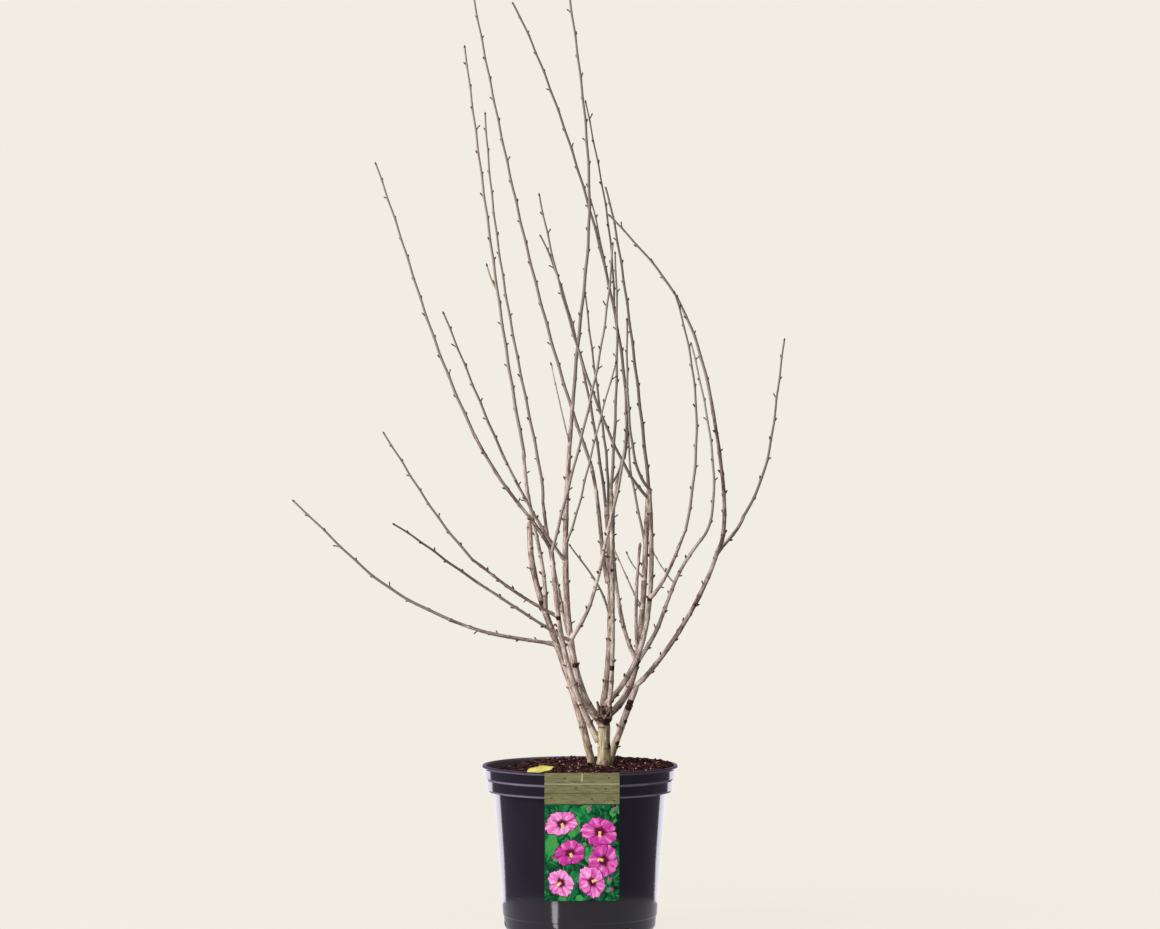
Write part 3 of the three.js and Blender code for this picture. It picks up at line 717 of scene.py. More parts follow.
LIMB_TONES = {                    # boughs whose bark is drawn lighter or darker by a set amount
    "bough_arch_low": -0.06, "bough_arch_high": -0.12, "bough_right_mid": -0.1,
    "bough_near_left": -0.06, "bough_far_left": -0.03, "bough_low_left": -0.04,
    "bough_left_twin": 0.05, "bough_far_right": 0.06, "bough_right_outer": 0.16,
}
HANDOVER = 45                     # how far up its boughs the trunk's own bark reaches
TAPER_END, TWIG_SLEEVE = 12, 0.15         # a bough thins to a little over the twig it carries
BUD_STEP = 30                     # old bud rings on the boughs, like the buds on the twigs
KNOT_SUNK = 0.8                    # how far in from the bark a knot's middle lies, in radii
KNOTS = (                         # limb, height on it, radius, how far round it
    ("bough_centre_tall", 382, 3.2, 4.5), ("stem_right", 326, 3.9, 4.6),
    ("stem_right", 319, 3.5, 4.8), ("stem_right", 300, 3.5, 3.3), ("stem_right", 268, 3.5, 3.7),
    ("bough_inner_right", 384, 4.5, 4.6), ("stem_left", 470, 3.5, 5.2),
    ("bough_centre_pruned", 449, 2.8, 4.4), ("bough_inner_left", 452, 2.8, 5.0),
    ("bough_right_twin", 478, 3.5, 4.9), ("bough_arch_low", 470, 2.4, 4.0),
    ("bough_centre_front", 520, 2.0, 5.0), ("bough_centre_front", 380, 3.5, 4.2),
    ("trunk", 268, 3.0, 3.6), ("trunk", 303, 6.0, 4.2),
    ("trunk", 306, 6.5, 5.2), ("trunk", 311, 6.0, 4.7),
)
FORK_MIDDLE, FORK_ROUGH = (35, 16, 315), 10     # dark rough bark round the fork's head
FORK_STUBS = (                    # dead stubs in the fork: root, heading and length
    ((27, 14, 311), (-0.12, -0.1, 1), 20), ((31, 12, 313), (-0.05, -0.3, 1), 9),
    ((43, 14, 318), (0.25, -0.3, 1), 7), ((24, 20, 304), (-0.8, -0.2, 0.6), 5),
    ((40, 38, 308), (0.4, 0.7, 0.6), 8), ((26, 34, 307), (-0.5, 0.6, 0.9), 10),
)
STUB_THICK = (4.8, 3.2)
FORK_LUMPS = (                    # rough head of the fork: place and radius
    ((34, 24, 303), 9.4), ((29, 25, 303), 7.4), ((40, 25, 306), 6.6), ((35, 31, 303), 8.0),
    ((31, 17, 311), 4.6), ((40, 19, 316), 4.4), ((36, 15, 309), 4.2), ((43, 22, 311), 4.6),
)


def carried(name):
    """The thickness that a bough hands to what grows from its tip, if anything does."""
    for limb in limbs.values():
        row = limb["row"]
        if row.get("on") == name and "at" not in row and "offset" not in row:
            return limb["thick"][0]
    return None


def bough_radii(name, line):
    """Half the thickness along a bough: an even taper, a collar where it leaves its parent."""
    row = limbs[name]["row"]
    run = np.linspace(0, length_of(line), len(line))
    radii = np.interp(run, [0, run[-1]], row["thick"]) / 2
    if name == "trunk":
        share = run / run[-1]
        radii += FLARE * np.clip(1 - share / FLARE_SHARE, 0, None) ** 2
    elif "at" in row:
        parent = limbs[row["on"]]["thick"][0] / 2
        radii *= 1 + COLLAR * np.clip(1 - run / (parent + 5 * radii[0]), 0, None) ** 2
    elif row.get("foot", (0, 0, 0))[2] == ROOTED:
        radii += ROOT_FLARE * np.clip(1 - run / ROOT_FLARE_UP, 0, None) ** 2
    handed = carried(name)
    if handed and name != "trunk":
        end = np.clip((run - run[-1] + TAPER_END) / TAPER_END, 0, 1)
        radii += (handed / 2 + TWIG_SLEEVE - radii) * end * end
    return radii


def strands_of(name):
    """The tubes of one bough and of its long side shoots."""
    line = limbs[name]["line"]
    line = evenly(line, max(8, round(length_of(line) / BARK_RING)))
    yield dict(name=name, line=line, radii=bough_radii(name, line))
    for number, shoot in enumerate(shoots_of(name)):
        count = round(length_of(shoot["line"]) / BARK_RING)
        shoot_line = evenly(shoot["line"], count)
        radii = np.linspace(shoot["thick"][0], shoot["thick"][1], count) / 2
        yield dict(name=f"{name}_shoot_{number}", line=shoot_line, radii=radii)


def ball(centre, radius, rings=10, sides=16):
    """A closed ball, for knots and the rough head of the fork."""
    climb = np.linspace(-math.pi / 2, math.pi / 2, rings + 2)[1:-1]
    line = np.array(centre) + np.outer(np.sin(climb) * radius, (0, 0, 1))
    turn = np.arange(sides) * 2 * math.pi / sides
    spread = np.stack([np.cos(turn), np.sin(turn), np.zeros(sides)], axis=1)
    skin = line[:, None] + spread[None] * (np.cos(climb) * radius)[:, None, None]
    ends = [np.array(centre) - (0, 0, radius), np.array(centre) + (0, 0, radius)]
    return np.concatenate([skin.reshape(-1, 3), ends]), tube_triangles(rings, sides)


def knots_on(*names):
    """The places and radii of the knots on these limbs, half sunk in their bark."""
    for name, height, radius, turn in KNOTS:
        if name in names:
            line = limbs[name]["line"]
            _, sideways, outwards = directions(line)
            index = int(np.argmin(np.abs(line[:, 2] - height)))
            thick = np.interp(index, [0, LIMB_SAMPLES], limbs[name]["thick"]) / 2
            aside = turned(turn, sideways[index], outwards[index])
            yield line[index] + aside * (thick - radius * KNOT_SUNK), radius


def middle_rows(strands):
    """Each millimetre of the strands: place, the three directions, run, radius and tone."""
    rows = []
    for number, strand in enumerate(strands):
        line = evenly(strand["line"], max(4, round(length_of(strand["line"]))))
        along, sideways, outwards = directions(line)
        share, run = np.linspace(0, 1, len(line)), np.linspace(0, length_of(line), len(line))
        radii = np.interp(share, np.linspace(0, 1, len(strand["radii"])), strand["radii"])
        tone = np.full(len(line), LIMB_TONES.get(strand["name"], 0))
        own_run = run + number * GRAIN_SHIFT
        rows.append(np.column_stack([line, along, sideways, outwards, own_run, radii, tone]))
    return np.concatenate(rows)


def noise_at(places):
    """Smooth noise from -1 to 1 at each of the places."""
    return np.array([noise.noise(place) for place in places.tolist()])


def carve_bark(piece, strands, knots, depth, crack):
    """Raises fibres, cracks, old bud rings and knots on a fused skin, and marks its grain."""
    mesh = piece.data
    points, normals = points_of(mesh) / MM, normals_of(mesh)
    rows = middle_rows(strands)
    tree = kdtree.KDTree(len(rows))
    for index, row in enumerate(rows):
        tree.insert(row[:3], index)
    tree.balance()
    nearest = rows[[tree.find(point)[1] for point in points]]
    middle, along, sideways, outwards = (nearest[:, at:at + 3] for at in (0, 3, 6, 9))
    run, thick, tone = nearest[:, 12], nearest[:, 13], nearest[:, 14]
    off = points - middle
    grain = np.column_stack([
        (off * sideways).sum(1), (off * outwards).sum(1), run + (off * along).sum(1)])
    rise = -depth * np.abs(noise_at(grain / (crack, crack, crack * FIBRE_STRETCH)))
    rise += depth * SWELL_SHARE * noise_at(grain / (SWELL_WIDE, SWELL_WIDE, SWELL_LONG))

    ring = np.round(grain[:, 2] / BUD_STEP)
    gap = grain[:, 2] - ring * BUD_STEP
    angle = np.arctan2(grain[:, 1], grain[:, 0])
    side = np.cos(angle - (ring % 2) * math.pi - np.sin(ring * 2.4))
    rise += np.exp(-(gap / RING_HALF) ** 2) * (
        RING_RISE + BUD_SIDE_RISE * np.clip(side, 0, 1) ** 2)
    scar = SCAR_DARK * np.exp(-(gap / SCAR_HALF) ** 2) * np.clip(side * 1.6 - 0.6, 0, 1)
    for centre, radius in knots:
        away = np.linalg.norm(points - centre, axis=1) / radius
        scar = np.maximum(scar, np.clip(4.6 - 3 * away, 0, 1))

    near_fork = np.clip(1.9 - np.linalg.norm(points - FORK_MIDDLE, axis=1) / FORK_ROUGH, 0, 1)
    lumps = noise_at(points / FORK_LUMP)
    scar = np.maximum(scar, near_fork * np.clip(0.6 + 1.5 * lumps, 0, 1))
    rise += near_fork * FORK_LUMP_RISE * lumps
    scar *= 0.9 + 0.4 * noise_at(points / 1.5)

    points += normals * rise[:, None]
    mesh.vertices.foreach_set("co", (points * MM).astype(np.float32).ravel())
    mesh.update()
    set_points(mesh, "grain", grain)
    set_points(mesh, "scar", np.clip(scar, 0, 1))
    set_points(mesh, "young", np.clip((OLD_RADIUS - thick) / (OLD_RADIUS - YOUNG_RADIUS), 0, 1))
    # Painted shade where a bough leans back, painted light where it leans forward.
    set_points(mesh, "tone", tone - LEAN_SHADE * along[:, 1])


def fused(name, strands, knots, material, relief, lumps=()):
    """One closed skin over crossing tubes and knots, smoothed and then given its bark."""
    heap = Heap()
    for strand in strands:
        slim = SLIM_SHARE * np.clip(strand["radii"] - SLIM_FROM, 0, None)
        heap.add(*tube(strand["line"], strand["radii"] + SKIN_OVER - slim, BARK_SIDES))
    for centre, radius in (*knots, *lumps):
        heap.add(*ball(centre, radius))
    piece = heap.piece(name, material)
    apply_modifier(piece, "REMESH", mode="VOXEL", voxel_size=VOXEL * MM)
    apply_modifier(piece, "SMOOTH", **SMOOTHING)
    carve_bark(piece, strands, knots, **relief)
    piece.data.polygons.foreach_set("use_smooth", np.ones(len(piece.data.polygons), bool))
    return piece


def trunk_and_fork():
    """The trunk, with its bark carried up over the foot of each bough of the fork."""
    strands = list(strands_of("trunk"))
    for name in FORK_LIMBS:
        strand = next(strands_of(name))
        run = np.linspace(0, length_of(strand["line"]), len(strand["line"]))
        keep = run < HANDOVER
        proud = np.interp(run[keep], [0, HANDOVER], FORK_OVER)
        strands.append(dict(
            name=name, line=strand["line"][keep], radii=strand["radii"][keep] + proud))
    material = bark("weathered_trunk_bark", fibre=1.7, relief=0.7, pores=0.0, olive_top=300)
    return fused(
        "trunk_and_fork", strands, list(knots_on("trunk")), material, TRUNK_RELIEF, FORK_LUMPS)


finished(trunk_and_fork(), "trunk_bark", "trunk")
bough_bark = bark("smooth_bough_bark", fibre=1.4, relief=0.45, pores=0.14, olive_top=262)
for family, members in FAMILIES.items():
    strands = [strand for name in members for strand in strands_of(name)]
    piece = fused(family, strands, list(knots_on(*members)), bough_bark, BOUGH_RELIEF)
    finished(piece, "bough_bark", *members)


# ---------------------------------------------------------------- twigs and buds

TWIG_SIDES, TWIG_RING = 8, 2.5
TWIG_SUNK = 6                     # how far a twig starts inside the bough that carries it
ZIGZAG = 0.55                     # how far a twig steps aside at each bud
TIP_BUD = 4.5
NODE_SWELL, NODE_HALF = 0.35, 2.2         # the swelling at each bud, and half its length
LEANING = 0.2                     # beyond it a twig leaning back gets painted shade bark, one leaning forward painted light bark
WHIP_BARKS = {                    # twigs whose bark isn't the one that goes with their lean
    "twigs_right_outer": "pale", "twigs_far_right": "young", "twigs_right_low": "young",
}
SPUR_SIDES, SPUR_RING = 6, 0.9
SPUR_BOW, SPUR_RIDGE = 0.16, 0.14         # shares of its length and of its thickness
SIDE_SPUR_SHARE = 0.1             # how many of a twig's other buds have grown a small spur
SIDE_SPUR_ANGLE, SIDE_SPUR_LENGTH, SIDE_SPUR_THICK = (36, 56), (3, 6), (1.8, 1.2)
OLD_SPUR_SHARE = 0.22             # how many old buds on the boughs have grown a stubby spur
OLD_SPUR_LENGTH = (3.5, 6.5)
FALLEN_BUD_SHARE = 0.15           # how many of them have dropped off
BARE_FOOT = 20                    # no bud stands on the foot of a bough
BUD_LENGTH, OLD_BUD_LENGTH = (3.1, 4.4), (3.8, 5.4)
SPUR_TIP, SHOOT_TIP, TWIG_TIP = 2.7, 3.4, 3.6             # lengths of the buds at the ends
SIDE_TIP_SHARE = 0.75             # length of those that crowd round them
BUD_ROOT = 0.75                   # how far out from a twig's middle its buds start, in radii
BUD_SIDES = 7
BUD_OUTLINE = (                   # share of a bud's length, and half its width as such a share
    (-0.35, 0.34), (-0.05, 0.42), (0.3, 0.36), (0.62, 0.25), (0.88, 0.1),
)


def square_to(heading):
    """Two directions square to a heading."""
    aside = unit(np.cross(heading, (0.3, 1.0, 0.2)))
    return aside, np.cross(heading, aside)


def add_bud(buds, root, heading, size):
    """A pointed bud, wide at its foot, that leans out of its root."""
    heading = unit(heading)
    aside, square = square_to(heading)
    turn = np.arange(BUD_SIDES) * 2 * math.pi / BUD_SIDES
    spread = np.outer(np.cos(turn), aside) + np.outer(np.sin(turn), square)
    shares = np.array(BUD_OUTLINE)[:, :, None, None] * size
    skin = root + shares[:, 0] * heading + shares[:, 1] * spread
    ends = [root + heading * size * (BUD_OUTLINE[0][0] - 0.1), root + heading * size]
    buds.add(np.concatenate([skin.reshape(-1, 3), ends]),
             tube_triangles(len(BUD_OUTLINE), BUD_SIDES))


def add_tip(buds, tip, heading, size, random):
    """The two or three buds that crowd the end of a twig."""
    aside, square = square_to(heading)
    add_bud(buds, tip, heading, size)
    for number in range(2 if next(random) < 0.5 else 1):
        lean = turned(number * 2.6 + next(random) * 2, aside, square)
        add_bud(buds, tip - heading * size * 0.3, heading * 0.8 + lean * 0.7, size * SIDE_TIP_SHARE)


def add_spur(wood, buds, root, heading, reach, random, thick=SPUR_THICK):
    """A short stubby shoot, ringed by the scars of old leaves, with buds on its end."""
    count = max(4, int(reach / SPUR_RING))
    steps = np.linspace(0, 1, count)
    aside, _ = square_to(heading)
    bow = np.sin(steps * math.pi) * (next(random) - 0.5) * reach * SPUR_BOW
    line = root + np.outer(steps * reach, heading) + np.outer(bow, aside)
    radii = np.interp(steps, [0, 1], thick) / 2 * (1 + SPUR_RIDGE * (np.arange(count) % 2))
    wood.add(*tube(line, radii, SPUR_SIDES), finish=1)
    if buds:
        add_tip(buds, line[-1], unit(line[-1] - line[-2]), SPUR_TIP, random)


def bud_turn(number, random):
    """Buds stand on alternate sides, a little scattered."""
    return (number % 2) * math.pi + (next(random) - 0.5) * SPUR_SCATTER


def bud_places(line, random):
    """The rule of the solids: buds at even steps, each with its turn and a spur's length."""
    count = int(length_of(line) / BUD_SPACING)
    for number in range(1, count):
        yield number, number / count, bud_turn(number, random), draw(random, *SPUR_LENGTH)


def add_twig(wood, buds, line, thick, places, fine, sunk=TWIG_SUNK):
    """A long twig that steps aside at its buds, and its buds, spurs and finer side twigs."""
    length = length_of(line)
    rings = max(8, round((length - TIP_BUD) / TWIG_RING))
    run = np.linspace(0, length - TIP_BUD, rings)
    body = at_distances(run, np.linspace(0, length, 400), evenly(line, 400))
    along, sideways, outwards = directions(body)
    radii = np.interp(run, [0, length], thick) / 2 + SKIN_OVER
    stops, steps, bearings = [0.0], [np.zeros(3)], []
    for _, share, turn, _ in places:
        index = min(int(share * length / TWIG_RING), rings - 1)
        aside = turned(turn, sideways[index], outwards[index])
        bearings.append((index, along[index], aside))
        stops.append(share * length)
        steps.append(aside * ZIGZAG)
        radii += NODE_SWELL * np.exp(-((run - share * length) / NODE_HALF) ** 2)
    body += at_distances(run, [*stops, length], np.array([*steps, np.zeros(3)]))

    for (number, _, _, reach), (index, ahead, aside) in zip(places, bearings):
        if number % SPUR_EVERY == 0:
            heading = turned(math.radians(SPUR_ANGLE), ahead, aside)
            add_spur(wood, buds, body[index], heading, reach - 2, fine)
        elif next(fine) < SIDE_SPUR_SHARE:
            heading = turned(math.radians(draw(fine, *SIDE_SPUR_ANGLE)), ahead, aside)
            reach = draw(fine, *SIDE_SPUR_LENGTH)
            add_spur(wood, buds, body[index], heading, reach, fine, SIDE_SPUR_THICK)
        else:
            size = draw(fine, *BUD_LENGTH) * np.interp(radii[index], [1.0, 2.4], [0.78, 1])
            root = body[index] + aside * radii[index] * BUD_ROOT + ahead * 0.4
            add_bud(buds, root, 0.86 * ahead + 0.5 * aside, size)
    add_tip(buds, body[-1], along[-1], TWIG_TIP, fine)
    if sunk:
        body = np.concatenate([[body[0] - along[0] * sunk], body])
        radii = np.concatenate([[radii[0] * 0.9], radii])
    wood.add(*tube(body, radii, TWIG_SIDES))


def whip(name, buds, barks):
    """One mass of twigs: a long twig and its shoots, in a bark made lighter or darker by their lean
    as painted light and shade.
    """
    random, fine = seeded_random(name), seeded_random(name + " finer")
    wood, limb = Heap(), limbs[name]
    line = limb["line"]
    add_twig(wood, buds, line, limb["thick"], list(bud_places(line, random)), fine)
    for shoot in shoots_of(name):
        places = list(bud_places(shoot["line"], fine))
        add_twig(wood, buds, shoot["line"], shoot["thick"], places, fine, sunk=0)
    lean = (line[-1] - line[0])[1] / length_of(line)
    # The pale bark is painted light and the dark one painted shade, chosen by the twig's lean.
    by_lean = "dark" if lean > LEANING else "pale" if lean < -LEANING else "young"
    return wood.piece(
        name.replace("twigs", "bare_twigs"), barks[WHIP_BARKS.get(name, by_lean)], barks["spur"])


def bud_the_bough(name, spurs, buds):
    """The old buds on a bough, some fallen, some grown into stubby spurs."""
    fine = seeded_random(name + " buds")
    line, thick = limbs[name]["line"], limbs[name]["thick"]
    along, sideways, outwards = directions(line)
    length = length_of(line)
    for ring in range(1, int(length / BUD_STEP)):
        share = ring * BUD_STEP / length
        chance = next(fine)
        index = int(share * LIMB_SAMPLES)
        aside = turned(bud_turn(ring, fine), sideways[index], outwards[index])
        root = line[index] + aside * np.interp(share, [0, 1], thick) / 2 * 0.95
        if chance > 1 - FALLEN_BUD_SHARE or share * length < BARE_FOOT:
            continue
        if chance < OLD_SPUR_SHARE:
            heading = 0.6 * along[index] + 0.8 * aside
            add_spur(spurs, buds, root - aside * 1.5, heading, draw(fine, *OLD_SPUR_LENGTH), fine)
        else:
            heading = 0.7 * along[index] + 0.72 * aside
            add_bud(buds, root, heading, draw(fine, *OLD_BUD_LENGTH))
    for shoot in shoots_of(name):
        line = evenly(shoot["line"], 40)
        add_tip(buds, line[-1], unit(line[-1] - line[-2]), SHOOT_TIP, fine)


def fork_stubs(spurs):
    """The dead stubs that are left in the fork of the trunk."""
    random = seeded_random("fork stubs")
    for root, heading, reach in FORK_STUBS:
        add_spur(spurs, None, np.array(root, float), unit(heading), reach, random, STUB_THICK)


# Young bark is smooth and dull. A paler copy is painted light for twigs that lean forward, a
# darker copy painted shade for those that lean back. The spurs are browner, rough with the scars
# of old leaves.
barks = {
    "young": plain("young_twig_bark", "#736b62", 0.7),
    "dark": plain("painted_shade_twig_bark", "#5f5750", 0.7),
    "pale": plain("painted_light_twig_bark", "#877e74", 0.7),
    "spur": plain("ringed_spur_bark", "#584840", 0.85),
}
buds, old_spurs = Heap(), Heap()
for name in WHIPS:
    finished(whip(name, buds, barks), "twig_bark", name)
for name in BOUGHS:
    bud_the_bough(name, old_spurs, buds)
fork_stubs(old_spurs)
finished(old_spurs.piece("old_spurs", barks["spur"], barks["spur"]), "bough_bark")
# Bud scales: dry, dark brown and a little darker than the bark they stand on.
finished(buds.piece("winter_buds", plain("winter_bud_scales", "#4a362d", 0.7)), "twig_bark")

# ---------------------------------------------------------------- pot

POT_SIDES = 160
POT_OUTSIDE = (                   # radius and height up the outside, lip and inside, to the floor
    (99.5, 0), (100.5, 1), (107.8, 14), (108.8, 28), (109.8, 29), (123, 204), (132, 205.3),
    (133.6, 208), (134, 221), (136.6, 225), (137, 236.5), (139.4, 237.5), (140, 239.75),
    (138.8, 242), (135.7, 242), (134.5, 239.75), (134.1, 225), (131.5, 221), (130.5, 208),
    (120.5, 205), (106.3, 28), (98, 3),
)
GUARD, LONG_FACE = 1.3, 7         # faces longer than this get a ring this close to their ends
DRAINS, DRAIN_TURN, DRAIN_RADIUS = 6, -52, 100.8
DRAIN_WIDTH, DRAIN_TOP, DRAIN_DEPTH, DRAIN_ROUND = 15, 20, 18, 2.5
LUGS, LUG_TURN, LUG_RADIUS, LUG_HEIGHT = 4, 20, 133.9, 233
LUG_SIZE, LUG_ROUND = (2.6, 7, 8), 0.8
POT_ROUND = 0.5
INSIDE_DUST_AND_SHEEN = 0.8                 # how much the inner wall is lightened: dried peat dust and a painted reflection


def guarded(profile):
    """The profile with a ring close to each end of its long faces, so that they stay flat."""
    yield profile[0]
    for (r0, z0), (r1, z1) in zip(profile, profile[1:]):
        length = math.hypot(r1 - r0, z1 - z0)
        if length > LONG_FACE:
            for share in (GUARD / length, 1 - GUARD / length):
                yield r0 + (r1 - r0) * share, z0 + (z1 - z0) * share
        yield r1, z1


def round_pot():
    """A profile drawn out ring by ring from the foot, with small rounded edges."""
    radius, height = POT_OUTSIDE[0]
    pot = primitive(
        bpy.ops.mesh.primitive_circle_add, "nursery_pot", vertices=POT_SIDES,
        radius=radius * MM, fill_type="NGON", location=(0, 0, height * MM))
    bpy.ops.object.mode_set(mode="EDIT")
    bpy.ops.mesh.select_all(action="SELECT")
    for wider, higher in list(guarded(POT_OUTSIDE))[1:]:
        bpy.ops.mesh.extrude_region_move(
            TRANSFORM_OT_translate={"value": (0, 0, (higher - height) * MM)})
        share = wider / radius
        bpy.ops.transform.resize(value=(share, share, 1), center_override=(0, 0, higher * MM))
        radius, height = wider, higher
    bpy.ops.mesh.select_all(action="SELECT")
    bpy.ops.mesh.normals_make_consistent(inside=False)
    bpy.ops.object.mode_set(mode="OBJECT")
    return pot


def blocks_round(name, count, first_turn, radius, height, size):
    """Equal blocks round the pot's axis, each turned to face it."""
    for number in range(count):
        turn = math.radians(first_turn + number * 360 / count)
        place = (radius * math.cos(turn) * MM, radius * math.sin(turn) * MM, height * MM)
        yield primitive(
            bpy.ops.mesh.primitive_cube_add, f"{name}_{number}", [side * MM for side in size],
            size=1, location=place, rotation=(0, 0, turn))


def combine(pot, operation, tool):
    """Adds a tool's shape to the pot, or takes it away."""
    apply_modifier(pot, "BOOLEAN", operation=operation, solver="EXACT", object=tool)
    bpy.data.objects.remove(tool, do_unlink=True)


def cut_drains(pot):
    """Rounded slots through the foot of the wall."""
    blocks = list(blocks_round(
        "drain", DRAINS, DRAIN_TURN, DRAIN_RADIUS, (DRAIN_TOP - 2) / 2,
        (DRAIN_DEPTH, DRAIN_WIDTH, DRAIN_TOP + 2)))
    for block in blocks:
        block.select_set(True)
    bpy.context.view_layer.objects.active = blocks[0]
    bpy.ops.object.join()
    apply_modifier(blocks[0], "BEVEL", width=DRAIN_ROUND * MM, segments=3)
    combine(pot, "DIFFERENCE", blocks[0])


def add_lugs(pot):
    """Small ribs on the inner wall just under the lip, which keep stacked pots apart."""
    for lug in blocks_round("lug", LUGS, LUG_TURN, LUG_RADIUS, LUG_HEIGHT, LUG_SIZE):
        apply_modifier(lug, "BEVEL", width=LUG_ROUND * MM, segments=2)
        combine(pot, "UNION", lug)


pot = round_pot()
cut_drains(pot)
add_lugs(pot)
apply_modifier(pot, "BEVEL", width=POT_ROUND * MM, segments=2, limit_method="ANGLE",
               angle_limit=math.radians(24), use_clamp_overlap=True)
select_only(pot)
bpy.ops.object.shade_smooth_by_angle(angle=math.radians(35))
faces_in = (points_of(pot.data)[:, :2] * normals_of(pot.data)[:, :2]).sum(1) < 0
set_points(pot.data, "inside", faces_in * INSIDE_DUST_AND_SHEEN)
pot.data.materials.append(moulded_polypropylene())
finished(pot, "pot_plastic", "pot")

# ---------------------------------------------------------------- soil

SOIL_DIP = 10                     # the soil has settled on the left
SOIL_DIP_START, SOIL_DIP_END = 50, 125
SOIL_HEAP = 4.125                 # and lies up to the lip on the right and at the back
SOIL_HEAP_START, SOIL_HEAP_END = 70, 130
SOIL_RELIEF = (                   # rise and size of the clods, and where their noise is read
    (2.6, 11, 3.1), (1.5, 4.5, 9.4), (0.6, 1.8, 1.7),
)
SOIL_EDGE = 133.6
WALL_GAP, SIDE_TOP = 0.8, 226     # the peat's side keeps clear of the wall up to this height
SOIL_RINGS, SOIL_SIDES = 46, 150
LITTER_EDGE, FIBRE_EDGE = 130, 124
CRUMBS, FLECKS, FIBRES = 1500, 95, 260
CRUMB_UNEVEN, CRUMB_SQUASH = (0.7, 1.3), ((0.8, 1.3), (0.7, 1.2), (0.45, 0.75))
DARK_CRUMB_SHARE, FEET_SHADE_RADIUS = 0.6, 34
FIBRE_LENGTH, FIBRE_THICK = (3, 10), (0.22, 0.47)


def ramp(value, start, end):
    """How far a value is from start to end, from 0 to 1."""
    return min(max((value - start) / (end - start), 0), 1)


def soil_height(x, y):
    """Height of the peat: a dip on the left, a heap towards the lip on the right, clods."""
    share = ramp(-x, SOIL_DIP_START, SOIL_DIP_END)
    dip = SOIL_DIP * share * share * (3 - 2 * share)
    radius = math.hypot(x, y)
    towards = max(0.0, (0.8 * x + 0.45 * y) / max(radius, 1))
    heap = SOIL_HEAP * ramp(radius, SOIL_HEAP_START, SOIL_HEAP_END) * towards
    clods = sum(rise * noise.noise((x / size, y / size, at)) for rise, size, at in SOIL_RELIEF)
    return SOIL_LEVEL - dip + heap + clods


def peat_bed():
    """The peat as one closed skin: across the pot's floor, up its wall and over the top."""
    inside = [(radius - WALL_GAP, height) for radius, height in POT_OUTSIDE[-1:-7:-1]]
    floor = inside[0][1] + WALL_GAP
    rings = [(inside[0][0] * share, floor) for share in (0.5, 1)]
    rings += [(radius, height + WALL_GAP / 2) for radius, height in inside[1:] if height < SIDE_TOP]
    turn = np.arange(SOIL_SIDES) * 2 * math.pi / SOIL_SIDES
    circle = np.stack([np.cos(turn), np.sin(turn)], axis=1)
    skin = [np.column_stack([circle * radius, np.full(SOIL_SIDES, height)])
            for radius, height in rings]
    for share in np.linspace(1, 1 / SOIL_RINGS, SOIL_RINGS):
        flat = circle * SOIL_EDGE * share
        skin.append(np.column_stack([flat, [soil_height(x, y) for x, y in flat]]))
    ends = [(0, 0, floor), (0, 0, soil_height(0, 0))]
    heap = Heap()
    heap.add(np.concatenate([*skin, ends]), tube_triangles(len(skin), SOIL_SIDES))
    return heap.piece("peat_bed", moist_peat())


def crumb(random, size):
    """A small angular lump: a squashed ball of a few faces with uneven radii."""
    points, faces = ball((0, 0, 0), 1.0, rings=3, sides=6)
    uneven = np.array([draw(random, *CRUMB_UNEVEN) for _ in points])
    squash = np.array([draw(random, *span) for span in CRUMB_SQUASH])
    turn = next(random) * 2 * math.pi
    x, y, z = (points * uneven[:, None] * squash * size).T
    return np.column_stack([
        x * math.cos(turn) - y * math.sin(turn), x * math.sin(turn) + y * math.cos(turn), z]), faces


def on_soil(random, edge=LITTER_EDGE):
    """A place on the peat, anywhere out to the edge."""
    radius = edge * math.sqrt(next(random))
    turn = next(random) * 2 * math.pi
    x, y = radius * math.cos(turn), radius * math.sin(turn)
    return np.array([x, y, soil_height(x, y)])


def torn_fibre(random):
    """A short bent thread that lies on the peat, as a tube."""
    middle = on_soil(random, FIBRE_EDGE) + (0, 0, 1.2)
    turn = next(random) * 2 * math.pi
    reach = draw(random, *FIBRE_LENGTH)
    heading = np.array([math.cos(turn), math.sin(turn), (next(random) - 0.4) * 0.5])
    bend = np.array([-math.sin(turn), math.cos(turn), 0.4]) * reach * 0.25 * (next(random) - 0.5)
    steps = np.linspace(-0.5, 0.5, 6)
    line = middle + np.outer(steps * reach, heading) + np.outer(1 - 4 * steps ** 2, bend)
    return tube(line, np.full(6, draw(random, *FIBRE_THICK)), 4)


